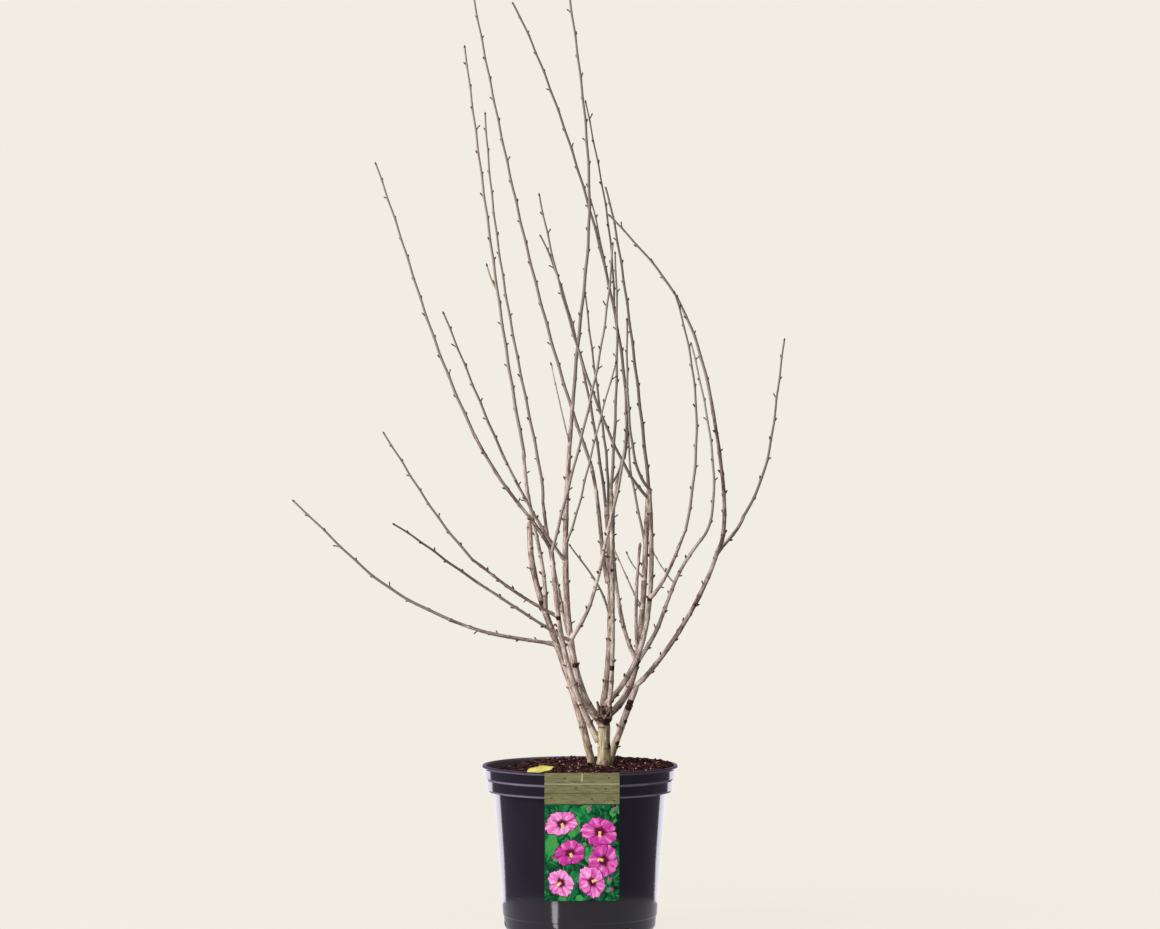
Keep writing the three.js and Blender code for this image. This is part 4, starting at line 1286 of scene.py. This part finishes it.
def peat_litter():
    """Crumbs, flecks of perlite and feed prills, and torn fibres, lying on the peat."""
    random = seeded_random("litter")
    heap = Heap()
    for _ in range(CRUMBS):
        points, faces = crumb(random, 0.9 + 2.2 * next(random) ** 2)
        spot = on_soil(random)
        # Painted shade: every crumb round the feet of the stems is a dark one.
        in_foot_shade = np.linalg.norm(spot * MM - FEET_MIDDLE) < FEET_SHADE_RADIUS * MM
        dark = next(random) < DARK_CRUMB_SHARE or in_foot_shade
        heap.add(points + spot + (0, 0, 0.4), faces, finish=0 if dark else 1)
    for _ in range(FLECKS):
        points, faces = crumb(random, 0.8 + 0.9 * next(random))
        heap.add(points + on_soil(random) + (0, 0, 1.0), faces, finish=2)
    for _ in range(FIBRES):
        heap.add(*torn_fibre(random), finish=3)
    # Wet crumbs are nearly black and dry ones red brown, both quite matt; round the feet of the
    # stems every crumb is a black one, a painted shade. Perlite is a dusty pinkish white, and the
    # fibres are straw that has gone brown.
    return heap.piece(
        "peat_litter", plain("dark_peat_crumbs", "#1c0e0f", 0.95, 0.2),
        plain("dry_peat_crumbs", "#3a201e", 0.95, 0.2), plain("perlite_flecks", "#947977", 0.85),
        plain("torn_plant_fibres", "#5f4037", 0.9))


finished(peat_bed(), "peat", "soil")
finished(peat_litter(), "peat")

# ---------------------------------------------------------------- the fallen leaf

LEAF_MIDDLE, LEAF_TURN = (-54, -104), -62
LEAF_LENGTH, LEAF_WIDTH, LEAF_THICK = 38, 29, 0.35
LEAF_HEIGHT, LEAF_SLOPE = 244.5, 0.27     # its middle, and how it lies up towards the lip
LEAF_TOOTH, LEAF_CUP, LEAF_WAVE = 0.06, 0.8, 0.5
LEAF_ROWS, LEAF_COLUMNS = 28, 20
STALK_REACH, STALK_THICK = 15, (0.8, 1.0)


def sheet_shape(grid, thick):
    """A closed thin shape from a grid of points: the sheet, and a copy under it."""
    rows, columns = grid.shape[:2]
    top = grid.reshape(-1, 3)
    under = top - (0, 0, thick)
    cell = (np.arange(rows - 1)[:, None] * columns + np.arange(columns - 1)).ravel()
    square = np.stack([cell, cell + 1, cell + columns + 1, cell + columns], axis=1)
    index = np.arange(rows * columns).reshape(rows, columns)
    rim = np.concatenate([index[0], index[1:, -1], index[-1, -2::-1], index[-2:0:-1, 0]])
    after = np.roll(rim, -1)
    quads = np.concatenate([
        square, square[:, ::-1] + len(top),
        np.stack([after, rim, rim + len(top), after + len(top)], axis=1)])
    faces = np.concatenate([quads[:, (0, 1, 2)], quads[:, (0, 2, 3)]])
    return np.concatenate([top, under]), faces


# A leaf gone yellow in autumn: thin and leathery, still green along its veins and edge.
# The grain attribute is the place across and along the blade, each from 0 to 1.
def yellowed_leaf():
    material, shader, add = new_material("yellowed_leaf")
    grain = add("Attribute", "Vector", attribute_name="grain")
    parts = add("SeparateXYZ", None, {0: grain})
    across = add("Math", 0, {0: parts["X"]}, operation="ABSOLUTE")
    slant = add("Math", 0, {0: across, 1: -0.3, 2: parts["Y"]}, operation="MULTIPLY_ADD")
    beat = add("Math", 0, {0: slant, 1: 0.09}, operation="PINGPONG")
    rib = add("MapRange", 0, {
        "Value": beat, "From Min": 0.0, "From Max": 0.016, "To Min": 0.75, "To Max": 0.0})
    spine = add("MapRange", 0, {
        "Value": across, "From Min": 0.02, "From Max": 0.07, "To Min": 1.0, "To Max": 0.0})
    edge = add("MapRange", 0, {
        "Value": across, "From Min": 0.55, "From Max": 1.0, "To Min": 0.0, "To Max": 0.75})
    blotch = add("TexNoise", "Fac", {"Vector": grain, "Scale": 3.0, "Detail": 3.0})
    tint = add("ValToRGB", "Color", {"Fac": blotch}, stops=[(0.35, "#beb14b"), (0.6, "#d4c96c")])
    veins = add("Math", 0, {0: rib, 1: spine}, operation="MAXIMUM")
    veined = add("Mix", 2, {0: veins, 6: tint, 7: "#efe7a6"}, data_type="RGBA")
    edged = add("Mix", 2, {0: edge, 6: veined, 7: "#b0b046"}, data_type="RGBA")
    raised = add("Bump", "Normal", {"Height": veins, "Distance": 0.4 * MM, "Strength": 0.6})
    set_inputs(shader, {
        "Base Color": edged, "Roughness": 0.55, "Normal": raised,
        "Subsurface Weight": 0.15, "Subsurface Radius": (0.002, 0.001, 0.0004)})
    return material


def fallen_leaf():
    """A lobed, toothed leaf that lies on the peat with its point over the lip."""
    turn = math.radians(LEAF_TURN)
    grid, grain = [], []
    for row in range(LEAF_ROWS + 1):
        share = row / LEAF_ROWS
        lobes = 0.8 + 0.2 * math.sin(share * 9.5 + 0.6)
        teeth = 1 + LEAF_TOOTH * (-1) ** row
        outline = math.sin(math.pi * (0.02 + 0.96 * share) ** 0.8) * lobes * teeth
        for column in range(LEAF_COLUMNS + 1):
            across = 2 * column / LEAF_COLUMNS - 1
            u = LEAF_WIDTH / 2 * across * outline
            v = (share - 0.5) * LEAF_LENGTH + 4 * abs(across) * (share - 0.6)
            x = LEAF_MIDDLE[0] + u * math.cos(turn) - v * math.sin(turn)
            y = LEAF_MIDDLE[1] + u * math.sin(turn) + v * math.cos(turn)
            cup = LEAF_CUP * across ** 2 + LEAF_WAVE * math.sin(share * 7 + across * 2.2)
            z = LEAF_HEIGHT + (y - LEAF_MIDDLE[1]) * LEAF_SLOPE + cup
            grid.append((x, y, z))
            grain.append((across, share, 0))
    grid = np.array(grid).reshape(LEAF_ROWS + 1, LEAF_COLUMNS + 1, 3)
    points, faces = sheet_shape(grid, LEAF_THICK)
    heap = Heap()
    heap.add(points, faces, np.concatenate([grain, grain]))
    heap.add(*stalk(grid[0].mean(axis=0), turn))
    return heap.piece("fallen_leaf", yellowed_leaf())


def stalk(root, turn):
    """The leaf's own thin stalk, which curves down onto the peat behind it."""
    steps = np.linspace(0, 1, 10)
    reach = STALK_REACH * steps
    line = np.stack([
        root[0] - reach * math.sin(turn) - 3 * steps ** 2,
        root[1] - reach * math.cos(turn) * 0.4,
        root[2] - 0.5 - 2.5 * steps ** 2], axis=1)
    return tube(line, np.linspace(*STALK_THICK, 10), 6)


finished(fallen_leaf(), "label_film")

# ---------------------------------------------------------------- the label

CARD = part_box("label")
CARD_LEFT, CARD_RIGHT = CARD[0].x / MM, CARD[1].x / MM
CARD_BOTTOM, CARD_TOP = CARD[0].z / MM, CARD[1].z / MM
CARD_FRONT, CARD_THICK = CARD[0].y / MM, 0.8
CARD_WIDE, CARD_TALL = CARD_RIGHT - CARD_LEFT, CARD_TOP - CARD_BOTTOM
CARD_MIDDLE = (CARD_LEFT + CARD_RIGHT) / 2
CARD_CENTRE = CARD_FRONT + CARD_THICK / 2
CARD_CORNER, CARD_EDGE, TONGUE_EDGE = 0.9, 0.12, 0.15
TONGUE_WIDTH, TONGUE_FOOT, TONGUE_BOTTOM = 12, 9, 221
TONGUE_BACK = CARD[1].y / MM - CARD_THICK / 2
TONGUE_CROWN, CROWN_STEPS = 2.2, 9
PRINT_MARGIN = 0.05
PRINT_WIDE = CARD_WIDE / 2 - PRINT_MARGIN         # from the middle to either side
BAND_HEIGHT = 44                  # the boarded band at the top of the print
BAND_LOW, BAND_HIGH = CARD_TALL - BAND_HEIGHT, CARD_TALL - PRINT_MARGIN
BOARD_GRAIN = (16, 10, 1.3)
BOARD_JOINTS = ((0, 1), (14.6, 1), (28.2, 2))     # height on the band, and which ink
BOARD_KNOTS = ((-42, 9), (-24, 36), (14, 8), (33, 22), (38, 37), (-8, 23), (44, 6))
INK, INK_GLOSS = 0.05, 0.1        # thickness of one printed layer, and its gloss
INK_SHADE, INK_LEAF, INK_PETAL, INK_PETAL_EDGE, INK_STRAW, INK_CREAM = range(6)
LEAF_LAYER, BUD_LAYER, BLOSSOM_LAYER = 0.07, 0.44, 0.48   # heights over the card
LEAF_STEP, BLOSSOM_STEP, PETAL_STEP = 0.003, 0.2, 0.02    # from one layer to the next
PRINTED_LEAVES, LEAF_REACH, ANTHERS = 120, (18, 36), 16
PRINTED_BUDS = (                  # across from the middle, up from the foot, and turn
    (8, BAND_LOW - 12, 0.4), (40, BAND_LOW - 10, 1.0), (13, BAND_LOW * 0.52, 0.9),
    (-33, 55, 5.4), (34, 14, 1.2), (36, 24, 0.5),
)
BLOSSOMS = (
    (-28, BAND_LOW - 26), (25, BAND_LOW - 37), (-16, BAND_LOW * 0.5), (30, 57), (-29, 26),
    (14, 27),
)
BLOSSOM_RADIUS, BUD_REACH = 23, 11
COLUMN_REACH = 0.4                # the pale column, as a share of the blossom's radius


def soften_edges(piece, width):
    """Rounds the sharp edges of a cut film a little."""
    apply_modifier(piece, "BEVEL", width=width * MM, segments=2, limit_method="ANGLE",
                   angle_limit=math.radians(50))


def label_card():
    """A stiff film card with rounded corners."""
    card = primitive(
        bpy.ops.mesh.primitive_cube_add, "label_card",
        (CARD_WIDE * MM, CARD_THICK * MM, CARD_TALL * MM), size=1,
        location=(CARD_MIDDLE * MM, CARD_CENTRE * MM, (CARD_BOTTOM + CARD_TOP) / 2 * MM))
    for edge in card.data.edges:
        ends = [card.data.vertices[index].co for index in edge.vertices]
        edge.select = abs(ends[0].y - ends[1].y) > 0.5 * CARD_THICK * MM
    bpy.ops.object.mode_set(mode="EDIT")
    bpy.ops.mesh.select_mode(type="EDGE")
    bpy.ops.mesh.bevel(offset=CARD_CORNER * MM, segments=6)
    bpy.ops.object.mode_set(mode="OBJECT")
    soften_edges(card, CARD_EDGE)
    return card


def label_tongue():
    """A strip that rises behind the card's top edge and bends down inside the lip."""
    bend = (TONGUE_BACK - CARD_CENTRE) / 2
    crown = CARD_TOP - CARD_THICK / 2 - TONGUE_CROWN
    path = []
    for step in range(CROWN_STEPS + 1):
        turn = math.pi * (1 - step / CROWN_STEPS)
        path.append((CARD_CENTRE + bend + bend * math.cos(turn),
                     crown + TONGUE_CROWN * math.sin(turn)))
    path.append((TONGUE_BACK, TONGUE_BOTTOM))
    middle = crown - TONGUE_FOOT / 2
    strip = primitive(
        bpy.ops.mesh.primitive_plane_add, "label_tongue",
        (TONGUE_WIDTH * MM, TONGUE_FOOT * MM, 1), size=1,
        location=(CARD_MIDDLE * MM, CARD_CENTRE * MM, middle * MM), rotation=(math.pi / 2, 0, 0))
    bpy.ops.object.mode_set(mode="EDIT")
    bpy.ops.mesh.select_mode(type="VERT")
    bpy.ops.mesh.select_all(action="DESELECT")
    bpy.ops.object.mode_set(mode="OBJECT")
    for vertex in strip.data.vertices:
        vertex.select = vertex.co.z > middle * MM
    bpy.ops.object.mode_set(mode="EDIT")
    for (y0, z0), (y1, z1) in zip(path, path[1:]):
        bpy.ops.mesh.extrude_region_move(
            TRANSFORM_OT_translate={"value": (0, (y1 - y0) * MM, (z1 - z0) * MM)})
    bpy.ops.object.mode_set(mode="OBJECT")
    apply_modifier(strip, "SOLIDIFY", thickness=CARD_THICK * MM, offset=0)
    soften_edges(strip, TONGUE_EDGE)
    return strip


def bar(half_width, low, high):
    """A straight bar in the middle of the card, as a grid of two by two points."""
    return np.array([[(-half_width, v), (half_width, v)] for v in (low, high)])


# Flat printing ink: one even colour with a faint sheen.
def flat_ink(name, code):
    return plain(name, code, 0.6, INK_GLOSS)


def print_shape(heap, grid, height, ink, tone=0.5):
    """A flat inked shape on the card; its grain is across, along, and how light it prints."""
    rows, columns = grid.shape[:2]
    points, faces = sheet_shape(np.dstack([grid, np.zeros((rows, columns))]), INK)
    placed = np.column_stack([
        CARD_MIDDLE + points[:, 0], CARD_FRONT - height - points[:, 2],
        CARD_BOTTOM + points[:, 1]])
    across = np.tile(np.linspace(-1, 1, columns), rows)
    along = np.repeat(np.linspace(0, 1, rows), columns)
    grain = np.column_stack([across, along, np.full(rows * columns, tone)])
    heap.add(placed, faces, np.concatenate([grain, grain]), finish=ink)


def laid_out(middle, turn, along, across):
    """Places on the card, so far along and across a direction from a middle."""
    return np.stack([
        middle[0] + along * math.sin(turn) + across * math.cos(turn),
        middle[1] + along * math.cos(turn) - across * math.sin(turn)], axis=-1)


def spread_shape(middle, turn, reach, half_width, rows, columns=7):
    """A grid from a stem outwards, as wide at each share of its reach as half_width says."""
    across = np.linspace(-1, 1, columns)
    return np.stack([
        laid_out(middle, turn, reach * share * np.cos(across * 0.5), across * half_width(share))
        for share in np.linspace(0, 1, rows)])


def petal_shape(middle, turn, reach, width, ruffle):
    """A broad petal with a waved rim, from the eye of the blossom outwards."""
    across = np.linspace(-1, 1, 13)
    wave = 0.05 * np.sin(across * 7 + ruffle) + 0.03 * np.sin(across * 15 + 2 * ruffle)
    grid = []
    for share in np.linspace(0, 1, 14):
        full = width * share ** 0.8 * math.sqrt(1 - 0.62 * max(0, (share - 0.55) / 0.45) ** 2)
        bow = reach * share * (np.cos(across * 0.62) + wave * share ** 3)
        aside = across * full * (1 + 0.05 * math.sin(share * 21 + ruffle)) + 0.3 * across
        grid.append(laid_out(middle, turn, bow, aside))
    return np.stack(grid)


def tilted(grid, middle, turn, squash):
    """A shape seen aslant: narrowed in one direction through its middle."""
    axis = np.array([math.sin(turn), math.cos(turn)])
    off = grid - middle
    return grid - (off @ axis)[..., None] * axis * (1 - squash)


def inked_blossom(heap, middle, radius, random, height):
    """Five broad ruffled petals of uneven tone, a dark red eye and a pale column."""
    turn, slant, squash = next(random) * 6, next(random) * 6, draw(random, 0.64, 0.92)
    depth = draw(random, 0.1, 0.55)

    def ink(grid, level, finish, tone=0.5):
        print_shape(heap, tilted(grid, middle, slant, squash), level, finish, tone)

    for order, number in enumerate((0, 2, 4, 1, 3)):
        angle = turn + number * 2 * math.pi / 5 + 0.2 * (next(random) - 0.5)
        reach = radius * draw(random, 0.9, 1.06)
        width = radius * draw(random, 0.6, 0.72)
        ruffle, tone = 6 * next(random), depth + 0.4 * next(random)
        level = height + order * PETAL_STEP
        for grow, finish, shade in ((1.035, INK_PETAL_EDGE, 0), (1.0, INK_PETAL, tone)):
            ink(petal_shape(middle, angle, reach * grow, width * grow, ruffle),
                level + 0.008 * (finish == INK_PETAL), finish, shade)
    rise = radius * COLUMN_REACH
    ink(spread_shape(middle, slant, rise, lambda share: 2.2 - 0.9 * share, 7, 5),
        height + 0.13, INK_STRAW)
    for number in range(ANTHERS):
        share, side = draw(random, 0.25, 1), draw(random, -2.4, 2.4)
        spot = laid_out(middle, slant, rise * share, side)
        ink(spread_shape(spot, slant, 1.1, lambda share: 0.5, 3, 3), height + 0.15, INK_CREAM)


def inked_bud(heap, middle, turn, size, height):
    """A closed blossom: a pink point out of a green cup."""
    for reach, wide, closed, rows, columns, level, ink, tone in (
            (1, 0.34, 0.83, 9, 7, 0, INK_PETAL, 0.2), (0.55, 0.36, 0.5, 6, 5, 0.01, INK_LEAF, 0.95)):
        def half_width(share):
            return size * wide * math.sin(math.pi * (0.12 + closed * share))

        grid = spread_shape(middle, turn, size * reach, half_width, rows, columns)
        print_shape(heap, grid, height + level, ink, tone)


def leaf_width(width):
    """Half the width of a lobed printed leaf, along its blade."""
    def half_width(share):
        lobes = 1 + 0.16 * math.cos(share * 16)
        return width * math.sin(math.pi * (0.03 + 0.95 * share) ** 0.75) * lobes
    return half_width


# Printed petals: dark red at the eye, magenta veins that fade outwards, a pale pink rim, and
# soft folds. The film is flat, so all of it is colour.
def printed_petals():
    material, shader, add = new_material("printed_pink_petals")
    grain = add("Attribute", "Vector", attribute_name="grain")
    parts = add("SeparateXYZ", None, {0: grain})
    along, tone = parts["Y"], parts["Z"]
    stretched = add("Mapping", 0, {"Vector": grain, "Scale": (1.3, 0.7, 19.0)})
    folds = add("TexNoise", "Fac", {"Vector": stretched, "Scale": 1.6, "Detail": 2.0})
    lit = add("Math", 0, {0: tone, 1: 0.55, 2: folds}, operation="MULTIPLY_ADD")
    body = add("ValToRGB", "Color", {"Fac": lit}, stops=[
        (0.42, "#8c1c66"), (0.66, "#bd3f96"), (0.84, "#d673b6"), (1.0, "#e3a0cf")])
    fine = add("Mapping", 0, {"Vector": grain, "Scale": (9.0, 0.8, 7.0)})
    lines = add("TexNoise", "Fac", {"Vector": fine, "Scale": 1.0, "Detail": 1.0})
    outwards = add("MapRange", 0, {
        "Value": along, "From Min": 0.2, "From Max": 0.85, "To Min": 0.9, "To Max": 0.1})
    line = add("MapRange", 0, {"Value": lines, "From Min": 0.52, "From Max": 0.62})
    vein = add("Math", 0, {0: line, 1: outwards}, operation="MULTIPLY")
    veined = add("Mix", 2, {0: vein, 6: body, 7: "#8c2468"}, data_type="RGBA")
    ragged = add("Math", 0, {0: lines, 1: -0.3, 2: along}, operation="MULTIPLY_ADD")
    throat = add("MapRange", 0, {
        "Value": ragged, "From Min": 0.1, "From Max": 0.26, "To Min": 1.0, "To Max": 0.0})
    eyed = add("Mix", 2, {0: throat, 6: veined, 7: "#560f2b"}, data_type="RGBA")
    set_inputs(shader, {"Base Color": eyed, "Roughness": 0.6, "Specular IOR Level": INK_GLOSS})
    return material


# Printed foliage: saturated greens, light ribs, and blades that darken towards their edges.
def printed_foliage():
    material, shader, add = new_material("printed_green_foliage")
    grain = add("Attribute", "Vector", attribute_name="grain")
    parts = add("SeparateXYZ", None, {0: grain})
    across = add("Math", 0, {0: parts["X"]}, operation="ABSOLUTE")
    stretched = add("Mapping", 0, {"Vector": grain, "Scale": (1.2, 1.6, 23.0)})
    dapple = add("TexNoise", "Fac", {"Vector": stretched, "Scale": 1.5, "Detail": 3.0})
    lit = add("Math", 0, {0: parts["Z"], 1: 0.6, 2: dapple}, operation="MULTIPLY_ADD")
    blade = add("ValToRGB", "Color", {"Fac": lit}, stops=[
        (0.4, "#05291a"), (0.64, "#085a34"), (0.86, "#0e7440"), (1.0, "#3a8a45")])
    slant = add("Math", 0, {0: across, 1: -0.35, 2: parts["Y"]}, operation="MULTIPLY_ADD")
    beat = add("Math", 0, {0: slant, 1: 0.08}, operation="PINGPONG")
    rib = add("MapRange", 0, {"Value": beat, "From Max": 0.02, "To Min": 0.35, "To Max": 0.0})
    spine = add("MapRange", 0, {
        "Value": across, "From Min": 0.02, "From Max": 0.12, "To Min": 0.7, "To Max": 0.0})
    ribs = add("Math", 0, {0: rib, 1: spine}, operation="MAXIMUM")
    ribbed = add("Mix", 2, {0: ribs, 6: blade, 7: "#3f8a4c"}, data_type="RGBA")
    shade = add("MapRange", 0, {"Value": across, "From Min": 0.6, "From Max": 1.0, "To Max": 0.8})
    edged = add("Mix", 2, {0: shade, 6: ribbed, 7: "#0a2715"}, data_type="RGBA")
    set_inputs(shader, {"Base Color": edged, "Roughness": 0.6, "Specular IOR Level": INK_GLOSS})
    return material


def label_print():
    """Foliage, buds and six pink blossoms: a generic garden picture."""
    random = seeded_random("print")
    heap = Heap()
    print_shape(heap, bar(PRINT_WIDE, PRINT_MARGIN, BAND_LOW), INK, INK_SHADE)
    edge = PRINT_WIDE - 0.6
    for number in range(PRINTED_LEAVES):
        middle = ((2 * next(random) - 1) * (PRINT_WIDE - 3), draw(random, 2, BAND_LOW - 4))
        turn, reach = next(random) * 2 * math.pi, draw(random, *LEAF_REACH)
        grid = spread_shape(middle, turn, reach, leaf_width(reach * 0.33), 14, 7)
        clipped = np.dstack([
            np.clip(grid[..., 0], -edge, edge), np.clip(grid[..., 1], 0.8, BAND_LOW - 0.6)])
        level = LEAF_LAYER + number * LEAF_STEP
        print_shape(heap, clipped, level, INK_LEAF, next(random) ** 2)
    for u, v, turn in PRINTED_BUDS:
        inked_bud(heap, (u, v), turn, BUD_REACH, BUD_LAYER)
    for number, middle in enumerate(BLOSSOMS):
        size = BLOSSOM_RADIUS * draw(random, 0.88, 1.12)
        inked_blossom(heap, middle, size, random, BLOSSOM_LAYER + BLOSSOM_STEP * (number % 3))
    return heap.piece(
        "label_garden_print", flat_ink("ink_shade_green", "#0a3a22"), printed_foliage(),
        printed_petals(), flat_ink("ink_petal_edge", "#7d2360"),
        flat_ink("ink_straw", "#d9ab6a"), flat_ink("ink_cream", "#e6d2a6"))


# Printed film: weathered garden boards in olive ink, with a fine lying grain and a soft sheen.
def printed_boards():
    material, shader, add = new_material("printed_olive_boards")
    place = add("TexCoord", "Object")
    along = add("Mapping", 0, {"Vector": place, "Scale": [1 / (size * MM) for size in BOARD_GRAIN]})
    grain = add("TexNoise", "Fac", {"Vector": along, "Scale": 1.0, "Detail": 5.0, "Distortion": 0.6})
    tint = add("ValToRGB", "Color", {"Fac": grain}, stops=[
        (0.3, "#4f4d34"), (0.5, "#6a684a"), (0.72, "#807e5c")])
    set_inputs(shader, {"Base Color": tint, "Roughness": 0.6, "Specular IOR Level": INK_GLOSS})
    return material


def label_band():
    """The boarded band: three boards, dark joints, knots, and a pale upright mark at the top."""
    heap = Heap()
    print_shape(heap, bar(PRINT_WIDE, BAND_LOW, BAND_HIGH), INK, 0)
    for v, ink in BOARD_JOINTS:
        print_shape(heap, bar(PRINT_WIDE, BAND_LOW + v, BAND_LOW + v + 0.8), INK + 0.01, ink)
    for u, v in BOARD_KNOTS:
        knot = spread_shape((u - 2.4, BAND_LOW + v), math.pi / 2, 4.8,
                            lambda share: math.sin(math.pi * share) + 0.05, 7, 3)
        print_shape(heap, knot, INK + 0.02, 1)
    print_shape(heap, bar(0.7, BAND_HIGH - 12, BAND_HIGH - 1), INK + 0.03, 2)
    return heap.piece(
        "label_board_print", printed_boards(), flat_ink("ink_board_joint", "#3b3d22"),
        flat_ink("bare_film_slit", "#a9a685"), smooth=False)


# Polypropylene film left bare at the edges and the back: olive, with a satin sheen.
film = plain("olive_polypropylene_film", "#53573a", 0.35)
card, tongue = label_card(), label_tongue()
for piece in (card, tongue):
    piece.data.materials.append(film)
finished(card, "label_film", "label")
finished(tongue, "label_film")
finished(label_print(), "label_film")
finished(label_band(), "label_film")

# ---------------------------------------------------------------- stage, light and camera

CREAM = "#f2ede3"
CAMERA_DISTANCE, CAMERA_HEIGHT = 4.754, 0.6706
CAMERA_PIXELS = 3328              # focal length in pixels of a picture 1160 wide
PICTURE_WIDE = 1160
SENSOR = 36
AMBIENT = (0.23, 0.2231, 0.2231, 1)
MIRRORED_ROOM = (0.28, 0.23, 0.32, 1)     # what the pot's gloss sees all round
FLOOR_RADIUS, FLOOR_LEVEL = 14, -0.001
NEAR_FLOOR, FAR_FLOOR = 0.1, 1.1          # between them the paper fades into the backdrop
PLATFORM_RADIUS, PLATFORM_LEVEL, PLATFORM_GLOW = 0.345, -0.0008, 0.75
GLINT_ROOT, GLINT_TURN, GLINT_SPREAD, GLINT_GLOW = (-0.033, -0.099), 37, 5.5, 9
GLINT_REACH, GLINT_LEVEL = (0.02, 0.24), -0.0006
BACKDROP_WIDE, BACKDROP_TALL, BACKDROP_AWAY, BACKDROP_MIDDLE = 5.8, 0.8, 3.0, -0.2
BACKDROP_GLOW = (0.85, 4.0)       # straight behind the pot, and at the two ends
LAMP_SIZE, LAMP_TINT = 1.6, (1, 0.985, 0.965)
LIT_MIDDLE = Vector((0, 0, 0.6))
LAMPS = {                         # place and power
    "key_softbox": ((-3.4, -2.1, 2.8), 290),
    "low_fill": ((-3.4, -2.1, 0.7), 150),         # for the undersides of what leans forward
    "side_fill": ((3.4, -2.6, 1.0), 36),
    "back_fill": ((0.9, 4.4, 1.1), 150),
}


def pale_floor():
    """Matt cream paper that fades into the even backdrop away from the pot."""
    material, shader, add = new_material("cream_floor_paper")
    place = add("TexCoord", "Object")
    far = add("VectorMath", "Value", {0: place}, operation="LENGTH")
    fade = {"Value": far, "From Min": NEAR_FLOOR, "From Max": FAR_FLOOR, "To Min": 0.93}
    share = add("MapRange", 0, fade, interpolation_type="SMOOTHSTEP")
    set_inputs(shader, {"Base Color": "#d5d1c8", "Roughness": 1.0, "Specular IOR Level": 0.0})
    even = add("Emission", 0, {"Color": CREAM})
    show(material, add("MixShader", 0, {0: share, 1: shader.outputs[0], 2: even}))
    return material


def glowing(name, strength):
    """An even glow, for what only the pot's gloss sees."""
    material, _, add = new_material(name)
    show(material, add("Emission", 0, {"Color": "#f6f2fb", "Strength": strength}))
    return material


def only_mirrored(piece):
    """Stage gear that nothing but the pot's gloss sees."""
    piece.visible_camera = piece.visible_diffuse = piece.visible_shadow = False


def glint():
    """A narrow bright gap along the paper, which the pot mirrors as one upright streak."""
    corners = []
    near, far = GLINT_REACH
    for reach, side in ((near, -1), (far, -1), (far, 1), (near, 1)):
        angle = math.radians(GLINT_TURN + side * GLINT_SPREAD)
        corners.append((GLINT_ROOT[0] - reach * math.sin(angle),
                        GLINT_ROOT[1] - reach * math.cos(angle), GLINT_LEVEL))
    heap = Heap()
    heap.add(np.array(corners) / MM, np.array([[0, 1, 2, 3]]))
    return heap.piece("stage_glint", glowing("bright_gap", GLINT_GLOW), smooth=False)


def backdrop():
    """A bright screen behind the pot, brighter towards its ends, seen only in the gloss."""
    material, _, add = new_material("bright_backdrop")
    place = add("TexCoord", "Object")
    across = add("SeparateXYZ", "X", {0: place})
    away = add("Math", 0, {0: across}, operation="ABSOLUTE")
    share = add("MapRange", 0, {
        "Value": away, "From Max": BACKDROP_WIDE / 2, "To Min": BACKDROP_GLOW[0],
        "To Max": BACKDROP_GLOW[1]})
    show(material, add("Emission", 0, {"Color": "#f8f4ff", "Strength": share}))
    screen = primitive(
        bpy.ops.mesh.primitive_plane_add, "stage_backdrop", (BACKDROP_WIDE, BACKDROP_TALL, 1),
        size=1, location=(0, BACKDROP_AWAY, BACKDROP_MIDDLE), rotation=(math.pi / 2, 0, 0))
    screen.data.materials.append(material)
    return screen


def stage_disc(name, radius, level, material):
    """A flat round sheet under the pot."""
    disc = primitive(
        bpy.ops.mesh.primitive_circle_add, name, vertices=96, radius=radius, fill_type="NGON",
        location=(0, 0, level))
    disc.data.materials.append(material)
    return disc


def area_light(name, place, power):
    """A square lamp that faces the middle of the crown."""
    light = bpy.data.lights.new(name, "AREA")
    light.energy, light.color, light.size = power, LAMP_TINT, LAMP_SIZE
    lamp = bpy.data.objects.new(name, light)
    lamp.location = place
    lamp.rotation_euler = (LIT_MIDDLE - Vector(place)).to_track_quat("-Z", "Y").to_euler()
    bpy.context.scene.collection.objects.link(lamp)
    return lamp


scene = bpy.context.scene
scene.view_settings.view_transform = "Standard"
floor = stage_disc("stage_floor", FLOOR_RADIUS, FLOOR_LEVEL, pale_floor())
floor.visible_glossy = floor.visible_diffuse = False
only_mirrored(stage_disc(
    "stage_platform", PLATFORM_RADIUS, PLATFORM_LEVEL, glowing("bright_paper", PLATFORM_GLOW)))
only_mirrored(glint())

world = bpy.data.worlds.new("even_cream_backdrop")
scene.world = world
world.use_nodes = True
air = world.node_tree
path = add_node(air, "LightPath", None)
lit = add_node(
    air, "Mix", 2, {0: path["Is Glossy Ray"], 6: AMBIENT, 7: MIRRORED_ROOM}, data_type="RGBA")
sky = add_node(air, "Mix", 2, {0: path["Is Camera Ray"], 6: lit, 7: CREAM}, data_type="RGBA")
set_inputs(air.nodes["Background"], {"Color": sky})

for name, (place, power) in LAMPS.items():
    lamp = area_light(name, place, power)
    lamp.visible_glossy = False
    lamp.data.use_shadow = name == "key_softbox"
only_mirrored(backdrop())

camera_data = bpy.data.cameras.new("camera")
camera_data.sensor_width = SENSOR
camera_data.lens = CAMERA_PIXELS / PICTURE_WIDE * SENSOR
camera = bpy.data.objects.new("camera", camera_data)
camera.location = (0, -CAMERA_DISTANCE, CAMERA_HEIGHT)
camera.rotation_euler = (math.pi / 2, 0, 0)
scene.collection.objects.link(camera)
scene.camera = camera
